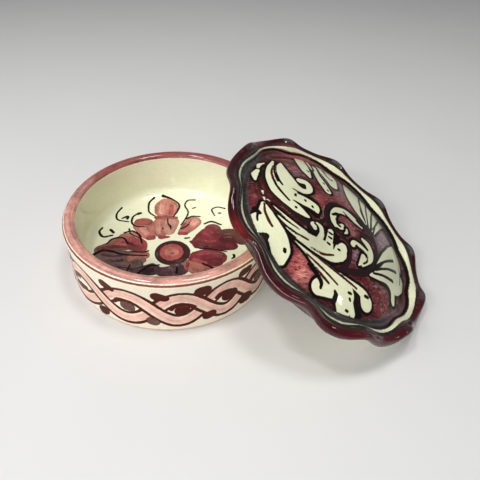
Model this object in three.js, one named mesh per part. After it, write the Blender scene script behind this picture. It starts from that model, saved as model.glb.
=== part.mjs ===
// A round keepsake box of glazed earthenware: a straight-walled dish and a domed lid with a wavy, rolled brim.
// The lid is off: it leans on the dish's rim with its low edge on the table. Millimetres, +Z up,
// origin at the centre of the dish's base.

import * as THREE from 'three';

// Dish
const dishRadius = 50;
const dishHeight = 29.8;
const wallThickness = 5.4;
const floorThickness = 4.2;
const footInset = 1.2;
const footBevelHeight = 2.2;
const lipFlare = 0.6;
const lipHeight = 6;
const rimCrown = 2.6;
const floorCornerRadius = 5;
const floorCrown = 0.4;

// Lid: the brim
const brimOverhang = 1.9;
const rollDiameter = 3.8;
const rollHeight = 4.4;
const seatWidth = 5.2;
const crestInset = 5.6;
const crestHeight = 5.5;
const valleyInset = 9.3;
const valleyHeight = 3.2;
const valleyWidth = 1.6;

// Lid: the dome and the hollow under it
const domeRise = 10.8;
const lidWall = 4.6;

// Lid: the ring that locates it inside the dish's rim
const ringClearance = 1.6;
const ringDepth = 9.5;
const ringThickness = 4.6;
const ringTaper = 6.8;
const ringCornerRadius = 1.2;
const hollowCornerRadius = 3;

// Lid: the waves pinched into the brim by hand
const waveCount = 11;
const waveDip = 1.8;
const waveReach = 0.33;
const wavePinch = 0.15;
const wavePhase = 14.1;
const waveDrift = 65;
const waveDriftPhase = -51;

// How the lid leans
const leanTilt = 30.5;
const leanHeading = -17.6;
const leanBearing = -13.8;
const leanGap = 0.3;

// Facets
const dishSegments = 84;
const segmentsPerWave = 10;

const degrees = Math.PI / 180;

// Points along an arc of an ellipse, both ends included, angles in degrees from the +r axis.
function arc(centreR, centreZ, radiusR, radiusZ, from, to, steps) {
  const points = [];
  for (let i = 0; i <= steps; i += 1) {
    const angle = (from + ((to - from) * i) / steps) * degrees;
    points.push(new THREE.Vector2(centreR + radiusR * Math.cos(angle), centreZ + radiusZ * Math.sin(angle)));
  }
  return points;
}

// A body of revolution about +Z from an outline of (radius, height) points.
function revolve(outline, segments) {
  const geometry = new THREE.LatheGeometry(outline, segments);
  geometry.rotateX(Math.PI / 2);
  return geometry;
}

const lipRadius = dishRadius + lipFlare;
const rimInnerRadius = dishRadius - wallThickness;
const rimCentreRadius = (lipRadius + rimInnerRadius) / 2;
const rimHalfWidth = (lipRadius - rimInnerRadius) / 2;

// The dish, from the middle of the base out, up the wall, over the rounded rim and down to the floor.
function dishOutline() {
  const wallFoot = dishHeight - rimCrown - lipHeight;
  const flareBend = 0.4;
  return [
    new THREE.Vector2(0, 0),
    ...arc(dishRadius - footInset, footBevelHeight, footInset, footBevelHeight, -90, 0, 3),
    new THREE.Vector2(dishRadius, wallFoot),
    new THREE.Vector2(dishRadius + lipFlare * flareBend, wallFoot + lipHeight * flareBend),
    ...arc(rimCentreRadius, dishHeight - rimCrown, rimHalfWidth, rimCrown, 0, 180, 8),
    ...arc(rimInnerRadius - floorCornerRadius, floorThickness + floorCornerRadius,
      floorCornerRadius, floorCornerRadius, 0, -90, 4),
    new THREE.Vector2(0, floorThickness - floorCrown),
  ];
}

// The lid in its own frame: the seat that rests on the dish's rim is at height 0.
const brimRadius = lipRadius + brimOverhang;
const seatInnerRadius = rimInnerRadius - ringClearance;
const seatOuterRadius = seatInnerRadius + seatWidth;
const crestRadius = brimRadius - crestInset;
const valleyRadius = brimRadius - valleyInset;
const rollRadius = rollDiameter / 2;

// How strongly the waves move a point of the brim: not at all at the start radius, fully at the edge.
function waveShare(radius, start) {
  return Math.max(0, (radius - start) / (brimRadius - start));
}

function domeHeight(radius) {
  const across = radius / valleyRadius;
  return valleyHeight + domeRise * (1 - across * across);
}

// The upper side, from the top of the dome out to the edge of the brim.
function lidUpperOutline() {
  const points = [];
  const domeSteps = 9;
  const domeEdge = valleyRadius - valleyWidth / 2;
  for (let i = 0; i <= domeSteps; i += 1) {
    const radius = domeEdge * Math.sqrt(i / domeSteps);
    points.push(new THREE.Vector2(radius, domeHeight(radius)));
  }
  const bankFoot = valleyRadius + valleyWidth / 2;
  points.push(
    new THREE.Vector2(bankFoot, valleyHeight),
    new THREE.Vector2((bankFoot + crestRadius) / 2, (valleyHeight + crestHeight) / 2),
    new THREE.Vector2(crestRadius, crestHeight),
    ...arc(brimRadius - rollRadius, rollHeight, rollRadius, rollRadius, 105, -90, 8),
  );
  return points;
}

// The underside, from the seat in to the ring, round it, and up into the hollow.
function lidLowerOutline() {
  const ringOuter = seatInnerRadius - ringTaper;
  const ringInner = ringOuter - ringThickness;
  const hollowRadius = seatInnerRadius - ringThickness;
  const ringCornerHeight = ringCornerRadius - ringDepth;
  const ceiling = [];
  const ceilingSteps = 5;
  const ceilingEdge = hollowRadius - hollowCornerRadius;
  for (let i = 0; i <= ceilingSteps; i += 1) {
    const radius = ceilingEdge * Math.sqrt(1 - i / ceilingSteps);
    ceiling.push(new THREE.Vector2(radius, domeHeight(radius) - lidWall));
  }
  return [
    new THREE.Vector2(seatOuterRadius, 0),
    new THREE.Vector2(seatInnerRadius, 0),
    ...arc(ringOuter - ringCornerRadius, ringCornerHeight, ringCornerRadius, ringCornerRadius, 0, -90, 3),
    ...arc(ringInner + ringCornerRadius, ringCornerHeight, ringCornerRadius, ringCornerRadius, -90, -180, 3),
    new THREE.Vector2(hollowRadius, domeHeight(hollowRadius) - lidWall - hollowCornerRadius),
    ...ceiling,
  ];
}

// A wave round the brim: 1 where it bulges out and droops, -1 where it was pinched in and up.
function wave(angle) {
  const turn = waveCount * (angle - wavePhase * degrees)
    + waveDrift * degrees * Math.sin(angle - waveDriftPhase * degrees);
  return Math.cos(turn) - wavePinch * Math.cos(2 * turn);
}

function lidGeometry() {
  const upper = lidUpperOutline();
  const lower = lidLowerOutline();
  const outline = [...upper, ...lower].reverse();
  const shares = [
    ...upper.map((point) => waveShare(point.x, valleyRadius)),
    ...lower.map(() => 0),
  ].reverse();
  const geometry = revolve(outline, waveCount * segmentsPerWave);
  const position = geometry.attributes.position;
  for (let i = 0; i < position.count; i += 1) {
    const x = position.getX(i);
    const y = position.getY(i);
    const radius = Math.hypot(x, y);
    const share = shares[i % outline.length];
    if (share > 0) {
      const push = share * wave(Math.atan2(y, x));
      const stretch = (radius + waveReach * push) / radius;
      position.setXYZ(i, x * stretch, y * stretch, position.getZ(i) - waveDip * push);
    }
  }
  geometry.computeVertexNormals();
  return geometry;
}

// Distance from a point (radius, height) to a closed outline, negative inside it.
function distanceToOutline(radius, height, outline) {
  let nearest = Infinity;
  let inside = false;
  for (let i = 0; i < outline.length; i += 1) {
    const a = outline[i];
    const b = outline[(i + 1) % outline.length];
    const edge = new THREE.Vector2().subVectors(b, a);
    const along = ((radius - a.x) * edge.x + (height - a.y) * edge.y) / edge.lengthSq();
    const t = Math.min(1, Math.max(0, along));
    nearest = Math.min(nearest, Math.hypot(radius - a.x - t * edge.x, height - a.y - t * edge.y));
    if ((a.y > height) !== (b.y > height) && radius < a.x + (edge.x * (height - a.y)) / edge.y) {
      inside = !inside;
    }
  }
  return inside ? -nearest : nearest;
}

// The lid's turn, and where it comes to rest: its lowest point on the table, slid in until it meets the rim.
function leanLid(lid, outline) {
  const heading = new THREE.Quaternion().setFromAxisAngle(new THREE.Vector3(0, 0, 1), leanHeading * degrees);
  const tilt = new THREE.Quaternion().setFromAxisAngle(new THREE.Vector3(0, 1, 0), leanTilt * degrees);
  lid.quaternion.multiplyQuaternions(heading, tilt);

  const turned = [];
  const position = lid.geometry.attributes.position;
  for (let i = 0; i < position.count; i += 1) {
    turned.push(new THREE.Vector3().fromBufferAttribute(position, i).applyQuaternion(lid.quaternion));
  }
  const lift = -Math.min(...turned.map((point) => point.z));
  const outward = new THREE.Vector2(Math.cos(leanBearing * degrees), Math.sin(leanBearing * degrees));

  const clearAt = (distance) => turned.every((point) => {
    const radius = Math.hypot(point.x + distance * outward.x, point.y + distance * outward.y);
    return radius > lipRadius + leanGap || distanceToOutline(radius, point.z + lift, outline) > leanGap;
  });
  let clear = lipRadius + 2 * brimRadius;
  let touching = clear;
  while (clearAt(touching)) {
    clear = touching;
    touching -= 1;
  }
  while (clear - touching > 0.001) {
    const middle = (clear + touching) / 2;
    if (clearAt(middle)) {
      clear = middle;
    } else {
      touching = middle;
    }
  }
  lid.position.set(clear * outward.x, clear * outward.y, lift);
}

const glaze = { roughness: 0.18, metalness: 0 };

const box = new THREE.Group();

const dish = new THREE.Mesh(
  revolve(dishOutline(), dishSegments),
  new THREE.MeshStandardMaterial({ color: 0xd9cfae, ...glaze }),
);
dish.name = 'dish';
box.add(dish);

const lid = new THREE.Mesh(
  lidGeometry(),
  new THREE.MeshStandardMaterial({ color: 0x7a2436, ...glaze }),
);
lid.name = 'lid';
leanLid(lid, dishOutline());
box.add(lid);

export default box;
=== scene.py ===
"""A round keepsake box of hand-painted, glazed earthenware, its lid off and leaning on the dish."""
import math

import bpy
import numpy as np
from bpy.props import FloatProperty, FloatVectorProperty, IntProperty, PointerProperty
from bpy.types import Operator, Panel, PropertyGroup
from mathutils import Euler, Matrix, Vector


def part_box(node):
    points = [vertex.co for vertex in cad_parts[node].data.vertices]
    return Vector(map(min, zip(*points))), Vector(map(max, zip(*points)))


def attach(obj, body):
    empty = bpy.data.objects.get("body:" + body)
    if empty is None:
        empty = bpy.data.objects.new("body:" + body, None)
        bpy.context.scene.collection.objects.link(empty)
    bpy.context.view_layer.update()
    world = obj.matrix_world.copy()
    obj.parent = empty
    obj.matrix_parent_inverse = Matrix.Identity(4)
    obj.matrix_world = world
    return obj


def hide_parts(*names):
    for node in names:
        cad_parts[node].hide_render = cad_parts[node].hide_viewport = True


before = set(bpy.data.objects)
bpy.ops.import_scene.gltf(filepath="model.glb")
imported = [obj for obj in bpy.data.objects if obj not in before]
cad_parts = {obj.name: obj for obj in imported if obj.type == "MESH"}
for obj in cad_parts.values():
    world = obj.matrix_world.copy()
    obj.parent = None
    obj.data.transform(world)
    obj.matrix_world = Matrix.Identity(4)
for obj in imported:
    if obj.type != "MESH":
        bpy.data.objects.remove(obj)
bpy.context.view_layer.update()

bl_info = {
    "name": "Keepsake Box",
    "version": (1, 0, 0),
    "blender": (4, 5, 0),
    "location": "3D View > Sidebar > Keepsake Box",
    "description": "A glazed earthenware dish and its wavy lid, painted with a braid, a flower and leaves",
    "category": "Object",
}

DISH_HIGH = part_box("dish")[1]
MM = 0.001
FAR = 9.0
TINY = 1e-6


def paint(red, green, blue):
    """A colour given as 8-bit display values, turned into linear light."""
    shares = [value / 255 for value in (red, green, blue)]
    return tuple(s / 12.92 if s <= 0.04045 else ((s + 0.055) / 1.055) ** 2.4 for s in shares)


def times(values, factor):
    """Each value times a factor."""
    return [factor * value for value in values]


def length(name, description, default):
    """A length in metres that a user may change."""
    return FloatProperty(name=name, description=description, default=default, min=0.0,
                         subtype="DISTANCE", unit="LENGTH", precision=5)


def number(name, description, default):
    """A plain number that a user may change."""
    return FloatProperty(name=name, description=description, default=default)


def angle(name, description, degrees):
    """An angle that a user may change."""
    return FloatProperty(name=name, description=description, default=math.radians(degrees),
                         subtype="ANGLE", unit="ROTATION")


def colour(name, description, red, green, blue):
    """A colour that a user may change."""
    return FloatVectorProperty(name=name, description=description, default=paint(red, green, blue),
                               size=3, min=0.0, max=1.0, subtype="COLOR")


class DishSizes(PropertyGroup):
    """Sizes of the dish"""
    lip_radius: length("Lip radius", "Widest radius, at the rim", DISH_HIGH[0])
    height: length("Height", "From the table to the top of the rim", DISH_HIGH[2])
    lip_flare: length("Lip flare", "How far the rim stands out from the wall", 0.0006)
    lip_height: length("Lip height", "How far under the rim the flare starts", 0.006)
    wall: length("Wall", "Thickness of the wall", 0.0054)
    floor: length("Floor", "Thickness of the floor at its edge", 0.0042)
    floor_crown: length("Floor crown", "How far the floor dips at its middle", 0.0004)
    foot_inset: length("Foot inset", "How far the foot is rounded in", 0.0012)
    foot_height: length("Foot height", "Height of the foot's rounding", 0.0022)
    rim_crown: length("Rim crown", "Height of the rim's rounding", 0.0026)
    corner: length("Inner corner", "Radius between floor and wall", 0.005)


class LidSizes(PropertyGroup):
    """Sizes of the lid"""
    brim_radius: length("Brim radius", "Middle radius of the brim's wavy edge", DISH_HIGH[0] + 0.0019)
    roll: length("Roll", "Radius of the rolled edge", 0.0019)
    roll_height: length("Roll height", "Height of the roll's middle over the seat", 0.0044)
    crest_radius: length("Crest radius", "Radius of the striped ridge", 0.0469)
    crest_height: length("Crest height", "Height of the striped ridge over the seat", 0.0055)
    groove_depth: length("Groove depth", "How far the brim dips between ridge and roll", 0.0003)
    valley_radius: length("Valley radius", "Radius of the valley round the dome", 0.0432)
    valley_height: length("Valley height", "Height of the valley over the seat", 0.0032)
    valley_width: length("Valley width", "Width of the valley's flat", 0.0016)
    dome_rise: length("Dome rise", "From the valley to the top of the dome", 0.0108)
    wall: length("Wall", "Thickness of the dome", 0.0046)
    seat_inner: length("Seat inner radius", "Where the seat on the rim starts", 0.0430)
    seat_outer: length("Seat outer radius", "Where the seat on the rim ends", 0.0482)
    ring_radius: length("Ring radius", "Outer radius of the ring at its foot", 0.0362)
    ring_wall: length("Ring wall", "Thickness of the ring", 0.0046)
    ring_depth: length("Ring depth", "How far the ring reaches under the seat", 0.0095)
    ring_corner: length("Ring corner", "Rounding of the ring's foot", 0.0012)
    hollow_radius: length("Hollow radius", "Radius of the hollow at the top of the ring", 0.0384)
    hollow_corner: length("Hollow corner", "Size of the corner under the dome", 0.003)
    waves: IntProperty(name="Waves", description="How many waves go round the brim", default=11, min=1)
    wave_dip: length("Wave dip", "How far a wave lifts and droops", 0.0018)
    wave_reach: length("Wave reach", "How far a wave moves out and in", 0.00033)
    wave_pinch: number("Wave pinch", "How sharp the pinched places are", 0.15)
    wave_phase: angle("Wave phase", "Where the first wave is", 14.1)
    wave_drift: angle("Wave drift", "How uneven the hand-made waves are", 65)
    wave_drift_phase: angle("Wave drift phase", "Where the waves are closest", -51)
    tilt: angle("Tilt", "How steeply the lid leans", 30.5)
    heading: angle("Heading", "Which way the lid leans", -17.6)


class Paints(PropertyGroup):
    """Glaze colours, a few of them painted light and shade"""
    ivory: colour("Ivory", "Glaze inside the dish", 240, 240, 210)
    wall_cream: colour("Wall cream", "Glaze on the dish's wall", 242, 232, 208)
    leaf_cream: colour("Leaf cream", "Leaves and stripe on the lid", 232, 234, 196)
    crimson: colour("Crimson", "Ground between the leaves", 88, 18, 28)
    rose: colour("Rose", "Thin places of the crimson ground", 186, 98, 94)
    roll_red: colour("Roll red", "Rolled edge of the brim", 50, 2, 12)
    # Painted light: the brighter red where the rolled edge faces the lamps
    roll_lit_red: colour("Rust", "Thin places of the rolled edge", 128, 34, 30)
    grey: colour("Grey", "Washed-out places of the brim", 84, 84, 80)
    charcoal: colour("Charcoal", "Shade along the leaves", 40, 26, 28)
    # Partly painted reflection: greys the crimson ground where the dome mirrors the room; partly muted paint
    dusty_sheen: colour("Dusty mauve", "Washed-out ground", 142, 112, 118)
    ink: colour("Ink", "Outlines on the lid and curls on the floor", 22, 13, 13)
    vein_brown: colour("Vein brown", "Fine veins in the leaves", 72, 28, 20)
    braid_brown: colour("Braid brown", "Outlines and dabs of the braid", 76, 20, 6)
    ribbon_pink: colour("Ribbon pink", "Strands of the braid", 236, 184, 166)
    rim_pink: colour("Rim pink", "Brushed band on the rim", 208, 150, 136)
    # Painted shade: the far side of the rim's band is drawn darker, for the sheen that lightens its near side
    rim_far_shade: colour("Rim brick", "The far side of the band on the rim", 146, 76, 72)
    terracotta: colour("Terracotta", "Line under the rim", 134, 74, 58)
    salmon: colour("Salmon", "Light petals", 198, 122, 108)
    blush: colour("Blush", "Thin places of light petals", 212, 150, 134)
    brick: colour("Brick", "Tips and bands of light petals", 148, 68, 66)
    maroon: colour("Maroon", "Dark petals", 118, 42, 48)
    dusk: colour("Dusk", "Brown petals", 90, 48, 46)
    mauve: colour("Mauve", "Grey petals", 112, 82, 78)
    plum: colour("Plum", "Darkest petals", 66, 40, 48)
    clay: colour("Clay", "Bare fired clay", 202, 158, 122)
    speck: colour("Speck", "Iron specks from the kiln", 62, 44, 34)


# Node trees


class Signal:
    """A number socket that takes part in Python expressions; each operator adds one Math node."""

    def __init__(self, trees, socket):
        self.trees = trees
        self.socket = socket

    def math(self, operation, *others):
        """One Math node with this number first."""
        node = self.trees.add("ShaderNodeMath", {"operation": operation}, dict(enumerate((self, *others))))
        return Signal(self.trees, node.outputs[0])

    def __add__(self, other):
        return self.math("ADD", other)

    def __sub__(self, other):
        return self.math("SUBTRACT", other)

    def __rsub__(self, other):
        return self.math("MULTIPLY_ADD", -1, other)

    def __mul__(self, other):
        return self.math("MULTIPLY", other)

    def __truediv__(self, other):
        return self.math("DIVIDE", other)

    __radd__ = __add__
    __rmul__ = __mul__

    def cosine(self):
        return self.math("COSINE")

    def sine(self):
        return self.math("SINE")

    def ramp(self, low, high):
        """0 at low and 1 at high, with soft ends; low may be the larger."""
        if low > high:
            return 1 - self.ramp(high, low)
        node = self.trees.add("ShaderNodeMapRange", {"interpolation_type": "SMOOTHSTEP"},
                              {"Value": self, "From Min": low, "From Max": high})
        return Signal(self.trees, node.outputs[0])


class Trees:
    """Adds nodes to one node tree."""

    def __init__(self, tree):
        self.tree = tree

    def add(self, kind, settings=None, values=None):
        """A node: its settings first, then each socket's value or link, by name or number."""
        node = self.tree.nodes.new(kind)
        for name, value in (settings or {}).items():
            setattr(node, name, value)
        for key, value in (values or {}).items():
            if isinstance(value, Signal):
                value = value.socket
            if isinstance(value, bpy.types.NodeSocket):
                self.tree.links.new(value, node.inputs[key])
            else:
                node.inputs[key].default_value = value
        return node

    def signal(self, socket):
        return Signal(self, socket)

    def attribute(self, name):
        """The node that reads a painted value of the mesh."""
        return self.add("ShaderNodeAttribute", {"attribute_type": "GEOMETRY", "attribute_name": name})

    def painted(self, name):
        """A painted number of the mesh."""
        return self.signal(self.attribute(name).outputs["Fac"])

    def stored(self, name):
        """A number of the mesh, for geometry nodes."""
        node = self.add("GeometryNodeInputNamedAttribute", {"data_type": "FLOAT"}, {"Name": name})
        return self.signal(node.outputs["Attribute"])

    def noise(self, vector, scale, detail, roughness):
        node = self.add("ShaderNodeTexNoise", {}, {"Vector": vector, "Scale": scale, "Detail": detail,
                                                   "Roughness": roughness})
        return self.signal(node.outputs[0])

    def mix(self, factor, first, second):
        """A colour between two colours."""
        node = self.add("ShaderNodeMix", {"data_type": "RGBA"}, {0: factor, 6: first, 7: second})
        return node.outputs[2]

    def scaled(self, vector, factor):
        """A vector or colour times a number."""
        node = self.add("ShaderNodeVectorMath", {"operation": "SCALE"}, {0: vector, "Scale": factor})
        return node.outputs[0]

    def surface(self, shader, values, output="ShaderNodeOutputMaterial"):
        """The shader that a material or a world ends in."""
        node = self.add(shader, {}, values)
        self.add(output, {}, {"Surface": node.outputs[0]})


def new_material(name):
    """An empty material and its node builder."""
    material = bpy.data.materials.new(name)
    material.use_nodes = True
    material.node_tree.nodes.clear()
    return material, Trees(material.node_tree)


# Glaze


def painted_layer(trees, name, streak, cloud, grit, under):
    """A brushed colour: its attribute's colour, deeper and thinner along the brush marks."""
    source = trees.attribute(name)
    depth = trees.signal(source.outputs["Alpha"])
    strength = 1 + depth * ((0.5 - streak) * 2.8 + (cloud - 0.5) * 1.4 + grit)
    brushed = trees.scaled(source.outputs["Color"], strength.math("MAXIMUM", 0.25))
    thin = depth * (streak + grit * 0.12).ramp(0.52, 0.7) * cloud.ramp(0.36, 0.6) * 0.24
    return trees.mix(thin, brushed, [*under, 1.0]), depth


def glaze_material(name, under):
    """Painted colours under a clear glaze: ground, brushed washes, then ink, over a pale body."""
    material, trees = new_material(name)
    metres = trees.add("ShaderNodeTexCoord").outputs["Object"]
    place = trees.scaled(metres, 1 / MM)
    brush = trees.attribute("brush").outputs["Vector"]

    streak = trees.noise(brush, scale=1.0, detail=4.0, roughness=0.7)
    cloud = trees.noise(place, scale=0.22, detail=2.0, roughness=0.55)
    wobble = trees.noise(place, scale=0.75, detail=1.0, roughness=0.5) - 0.5
    dry = trees.noise(brush, scale=2.3, detail=2.0, roughness=0.6)
    grit = trees.noise(place, scale=0.95, detail=4.0, roughness=0.8) - 0.5

    slant = trees.add("ShaderNodeMapping", {}, {"Vector": place, "Rotation": (0, 0, math.radians(62)),
                                                "Scale": (0.42, 1.7, 1.0)})
    scuff = trees.noise(slant.outputs["Vector"], scale=0.8, detail=4.0, roughness=0.75) - 0.5

    ground, _ = painted_layer(trees, "ground", streak, cloud, grit * 1.8 + scuff * 7.0, under)
    wash, wash_depth = painted_layer(trees, "wash", streak, cloud, grit * 0.9, under)
    wash_edge = trees.painted("wash_edge")
    wash_mask = (wash_edge + wobble * 0.45).ramp(0.16, -0.16)
    pooled = wash_edge.ramp(-1.3, -0.15) * wash_depth * 0.45
    wash = trees.mix(pooled, wash, trees.scaled(wash, 0.5))
    colours = trees.mix(wash_mask, ground, wash)

    tone = trees.attribute("ink_tone")
    ink_edge = trees.painted("ink")
    ink_mask = (ink_edge + wobble * 0.3).ramp(0.14, -0.12)
    ink_body = trees.signal(tone.outputs["Alpha"]) * (0.9 + 0.4 * dry)
    ink_colour = trees.mix(dry.ramp(0.55, 0.8) * 0.3, tone.outputs["Color"],
                           trees.scaled(tone.outputs["Color"], 2.2))
    covering = ink_mask * ink_body.math("MINIMUM", 1.0)
    colours = trees.mix(covering, colours, ink_colour)

    glazed = trees.painted("glazed")
    bare = glazed.ramp(0.3, 0.0)
    ripple = trees.noise(place, scale=0.16, detail=1.0, roughness=0.4)
    peel = trees.noise(place, scale=0.9, detail=2.0, roughness=0.5)
    grain = trees.noise(place, scale=6.0, detail=2.0, roughness=0.6)
    relief = ripple * 0.5 + peel * 0.035 + wash_mask * 0.02 + covering * 0.03 + bare * grain * 0.3
    bump = trees.add("ShaderNodeBump", {}, {"Height": relief, "Strength": 0.35, "Distance": 0.6 * MM})

    trees.surface("ShaderNodeBsdfPrincipled", {
        "Base Color": colours,
        "Roughness": 0.3 + bare * 0.42,
        "Coat Weight": glazed * (1.0 - covering * 0.75),
        "Coat Roughness": 0.03,
        "Coat IOR": 1.5,
        "Specular IOR Level": 0.05,
        "Normal": bump.outputs["Normal"],
    })
    return material


def speck_material(name, tone):
    """Iron specks melted into the glaze."""
    material, trees = new_material(name)
    metres = trees.add("ShaderNodeTexCoord").outputs["Object"]
    blotch = trees.noise(metres, scale=900.0, detail=1.0, roughness=0.5)
    colours = trees.mix(blotch, tone, [*times(tone[:3], 2.2), 1.0])
    trees.surface("ShaderNodeBsdfPrincipled", {
        "Base Color": colours,
        "Roughness": 0.3,
        "Coat Weight": 0.5,
    })
    return material


# Turned shapes


def in_millimetres(sizes, *names):
    """Some of the sizes, in millimetres."""
    return [getattr(sizes, name) / MM for name in names]


def no_waves(radius):
    """The share of the waves where a shape has none."""
    return 0.0


class Outline:
    """A profile cut into even steps: radius and height in millimetres, and the waves' share."""

    def __init__(self, radius, height, zone, step):
        self.rows = []
        self.steps = []
        self.zones = []
        self.part(zone, step)
        self.add(radius, height)

    def part(self, zone, step):
        """Names the stretch that follows, and sets how fine it is."""
        self.zone = zone
        self.step = step

    def add(self, radius, height, share=0.0):
        """One more point of the stretch."""
        self.rows.append((radius, height, share))
        self.steps.append(self.step)
        self.zones.append(self.zone)

    def line(self, radius, height, share=0.0):
        """A straight stretch."""
        start = np.array(self.rows[-1])
        end = np.array((radius, height, share))
        count = max(1, math.ceil(math.hypot(*(end - start)[:2]) / self.step))
        for i in range(1, count + 1):
            self.add(*(start + (end - start) * i / count))

    def path(self, points, share=no_waves):
        """A smooth stretch through points; share gives the waves' hold on a radius."""
        knots = smooth_path(np.array([self.rows[-1][:2]] + list(points)), 8)
        run = np.concatenate([[0], np.cumsum(np.hypot(*np.diff(knots, axis=0).T))])
        count = math.ceil(run[-1] / self.step)
        for stop in run[-1] * np.arange(1, count + 1) / count:
            radius, height = [float(np.interp(stop, run, values)) for values in knots.T]
            self.add(radius, height, share(radius))

    def arc(self, centre, radii, start, end, share=no_waves):
        """An arc of an ellipse, angles in degrees from straight outwards."""
        size = abs(math.radians(end - start)) * max(radii)
        count = max(3, math.ceil(size / self.step))
        for i in range(count + 1):
            turn = math.radians(start + (end - start) * i / count)
            radius = centre[0] + radii[0] * math.cos(turn)
            height = centre[1] + radii[1] * math.sin(turn)
            if math.hypot(radius - self.rows[-1][0], height - self.rows[-1][1]) > TINY:
                self.add(radius, height, share(radius))


def smooth_path(points, detail):
    """A smooth curve through points, with a number of steps between two of them."""
    ends = np.vstack([2 * points[0] - points[1], points, 2 * points[-1] - points[-2]])
    rows = []
    for a, b, c, d in zip(ends[:-3], ends[1:-2], ends[2:-1], ends[3:]):
        for t in np.arange(detail) / detail:
            rows.append(b + 0.5 * t * (c - a + t * (2 * a - 5 * b + 4 * c - d + t * (3 * b - a - 3 * c + d))))
    rows.append(points[-1])
    return np.array(rows)


def wrapped(angles):
    """Angles brought to within half a turn of zero."""
    return np.arctan2(np.sin(angles), np.cos(angles))


class Turned:
    """A closed body of revolution, with finer rings where its outline asks for them."""

    # points in a ring, and how many times as long as its step an edge of a ring may be
    coarsest = 45
    finest = 720
    slack = 1.3

    def __init__(self, outline):
        rows = np.array(outline.rows)
        counts = self.ring_counts(rows[:, 0], outline.steps)
        first = np.concatenate([[0], np.cumsum(counts)])
        row = np.repeat(np.arange(len(counts)), counts)
        turn = 2 * np.pi * (np.arange(first[-1]) - first[row]) / counts[row]
        self.radius, self.height, self.share = rows[row].T
        self.angle = wrapped(turn)
        self.x = self.radius * np.cos(turn)
        self.y = self.radius * np.sin(turn)
        steps = np.hypot(*np.diff(rows[:, :2], axis=0).T)
        self.run = np.concatenate([[0], np.cumsum(steps)])[row]
        self.zone = np.array(outline.zones)[row]
        self.faces = []
        for i in range(len(counts) - 1):
            self.bridge(first[i], counts[i], first[i + 1], counts[i + 1])

    def ring_counts(self, radii, steps):
        """How many points each ring has: close to its step, and at most twice those of a neighbour."""
        counts = []
        for radius, step in zip(radii, steps):
            count = self.coarsest
            while count < self.finest and 2 * math.pi * radius / count > self.slack * step:
                count *= 2
            counts.append(1 if radius < TINY else count)
        for order in (range(1, len(counts)), range(len(counts) - 2, -1, -1)):
            for i in order:
                before = counts[i - 1] if order.step == 1 else counts[i + 1]
                if counts[i] > 1 and before // 2 > counts[i]:
                    counts[i] = before // 2
        return np.array(counts)

    def bridge(self, low, low_count, high, high_count):
        """Faces between two rings, facing right of the way the outline runs."""
        count = max(low_count, high_count)
        for i in range(count):
            a, b = [low + math.ceil(k * low_count / count) % low_count for k in (i, i + 1)]
            d, c = [high + math.ceil(k * high_count / count) % high_count for k in (i, i + 1)]
            if low_count == high_count:
                self.faces.append((a, b, c, d))
            elif low_count < high_count:
                self.faces.append((a, c, d))
                if a != b:
                    self.faces.append((a, b, c))
            else:
                self.faces.append((a, b, d))
                if c != d:
                    self.faces.append((d, b, c))

    def mesh(self, name, painting):
        """The body as a mesh in metres that carries its painting."""
        mesh = bpy.data.meshes.new(name)
        places = np.column_stack([self.x, self.y, self.height]) * MM
        mesh.from_pydata(places.tolist(), [], self.faces)
        mesh.polygons.foreach_set("use_smooth", [True] * len(mesh.polygons))
        painting.store(mesh)
        store_values(mesh, "brim_share", "FLOAT", self.share)
        return mesh


def store_values(mesh, name, kind, values):
    """Keeps a value for each vertex of a mesh."""
    field = {"FLOAT": "value", "FLOAT_VECTOR": "vector", "FLOAT_COLOR": "color"}[kind]
    layer = mesh.attributes.new(name, kind, "POINT")
    layer.data.foreach_set(field, np.ascontiguousarray(values, dtype=np.float32).ravel())


def as_piece(name, mesh):
    """An object at the origin for a finished mesh."""
    piece = bpy.data.objects.new(name, mesh)
    bpy.context.scene.collection.objects.link(piece)
    return piece


# Brushwork


def soft_step(values, low, high):
    """0 at low and 1 at high with soft ends; low may be the larger."""
    t = np.clip((values - low) / (high - low), 0, 1)
    return t * t * (3 - 2 * t)


def soft_patch(gap):
    """1 at the middle of a patch, fading softly to nothing."""
    return np.exp(-gap * gap)


def blend(layer, share, tone):
    """Moves a layer's colours towards a tone; a fourth value in the tone moves their depth too."""
    part = layer[:, :len(tone)]
    part += (np.array(tone) - part) * np.asarray(share)[:, None]


def streaks(along, across, long, fine, shift=0.0):
    """Where the brush's fine marks lie: drawn out along the stroke, close together across it."""
    return np.column_stack([along * long, across * fine, np.full(len(along), shift)])


def sweep(places, points, widths, reach=4.0):
    """Distance to the edge of a brush stroke, and where along and across it each place lies."""
    path = smooth_path(np.array(points, float), 6) if len(points) > 1 else np.array(points * 2, float)
    spread = np.interp(np.linspace(0, 1, len(path)), np.linspace(0, 1, len(widths)), widths)
    distance = np.full(len(places), FAR)
    along = np.zeros(len(places))
    across = np.zeros(len(places))
    low = path.min(axis=0) - spread.max() - reach
    high = path.max(axis=0) + spread.max() + reach
    near = np.flatnonzero(np.all((places > low) & (places < high), axis=1))
    spots = places[near]
    best = np.full(len(near), FAR)
    here = np.zeros(len(near))
    side = np.zeros(len(near))
    run = 0.0
    for start, end, first, last in zip(path[:-1], path[1:], spread[:-1], spread[1:]):
        edge = end - start
        size = math.hypot(*edge)
        offset = spots - start
        t = np.clip(offset @ edge / max(size * size, 1e-9), 0, 1)
        gap = np.hypot(*(offset - t[:, None] * edge).T)
        found = gap - first - (last - first) * t
        closer = found < best
        turn = offset[:, 0] * edge[1] - offset[:, 1] * edge[0]
        best[closer] = found[closer]
        here[closer] = run + t[closer] * size
        side[closer] = (gap * np.sign(turn))[closer]
        run += size
    distance[near] = best
    along[near] = here
    across[near] = side
    return distance, along, across


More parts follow.
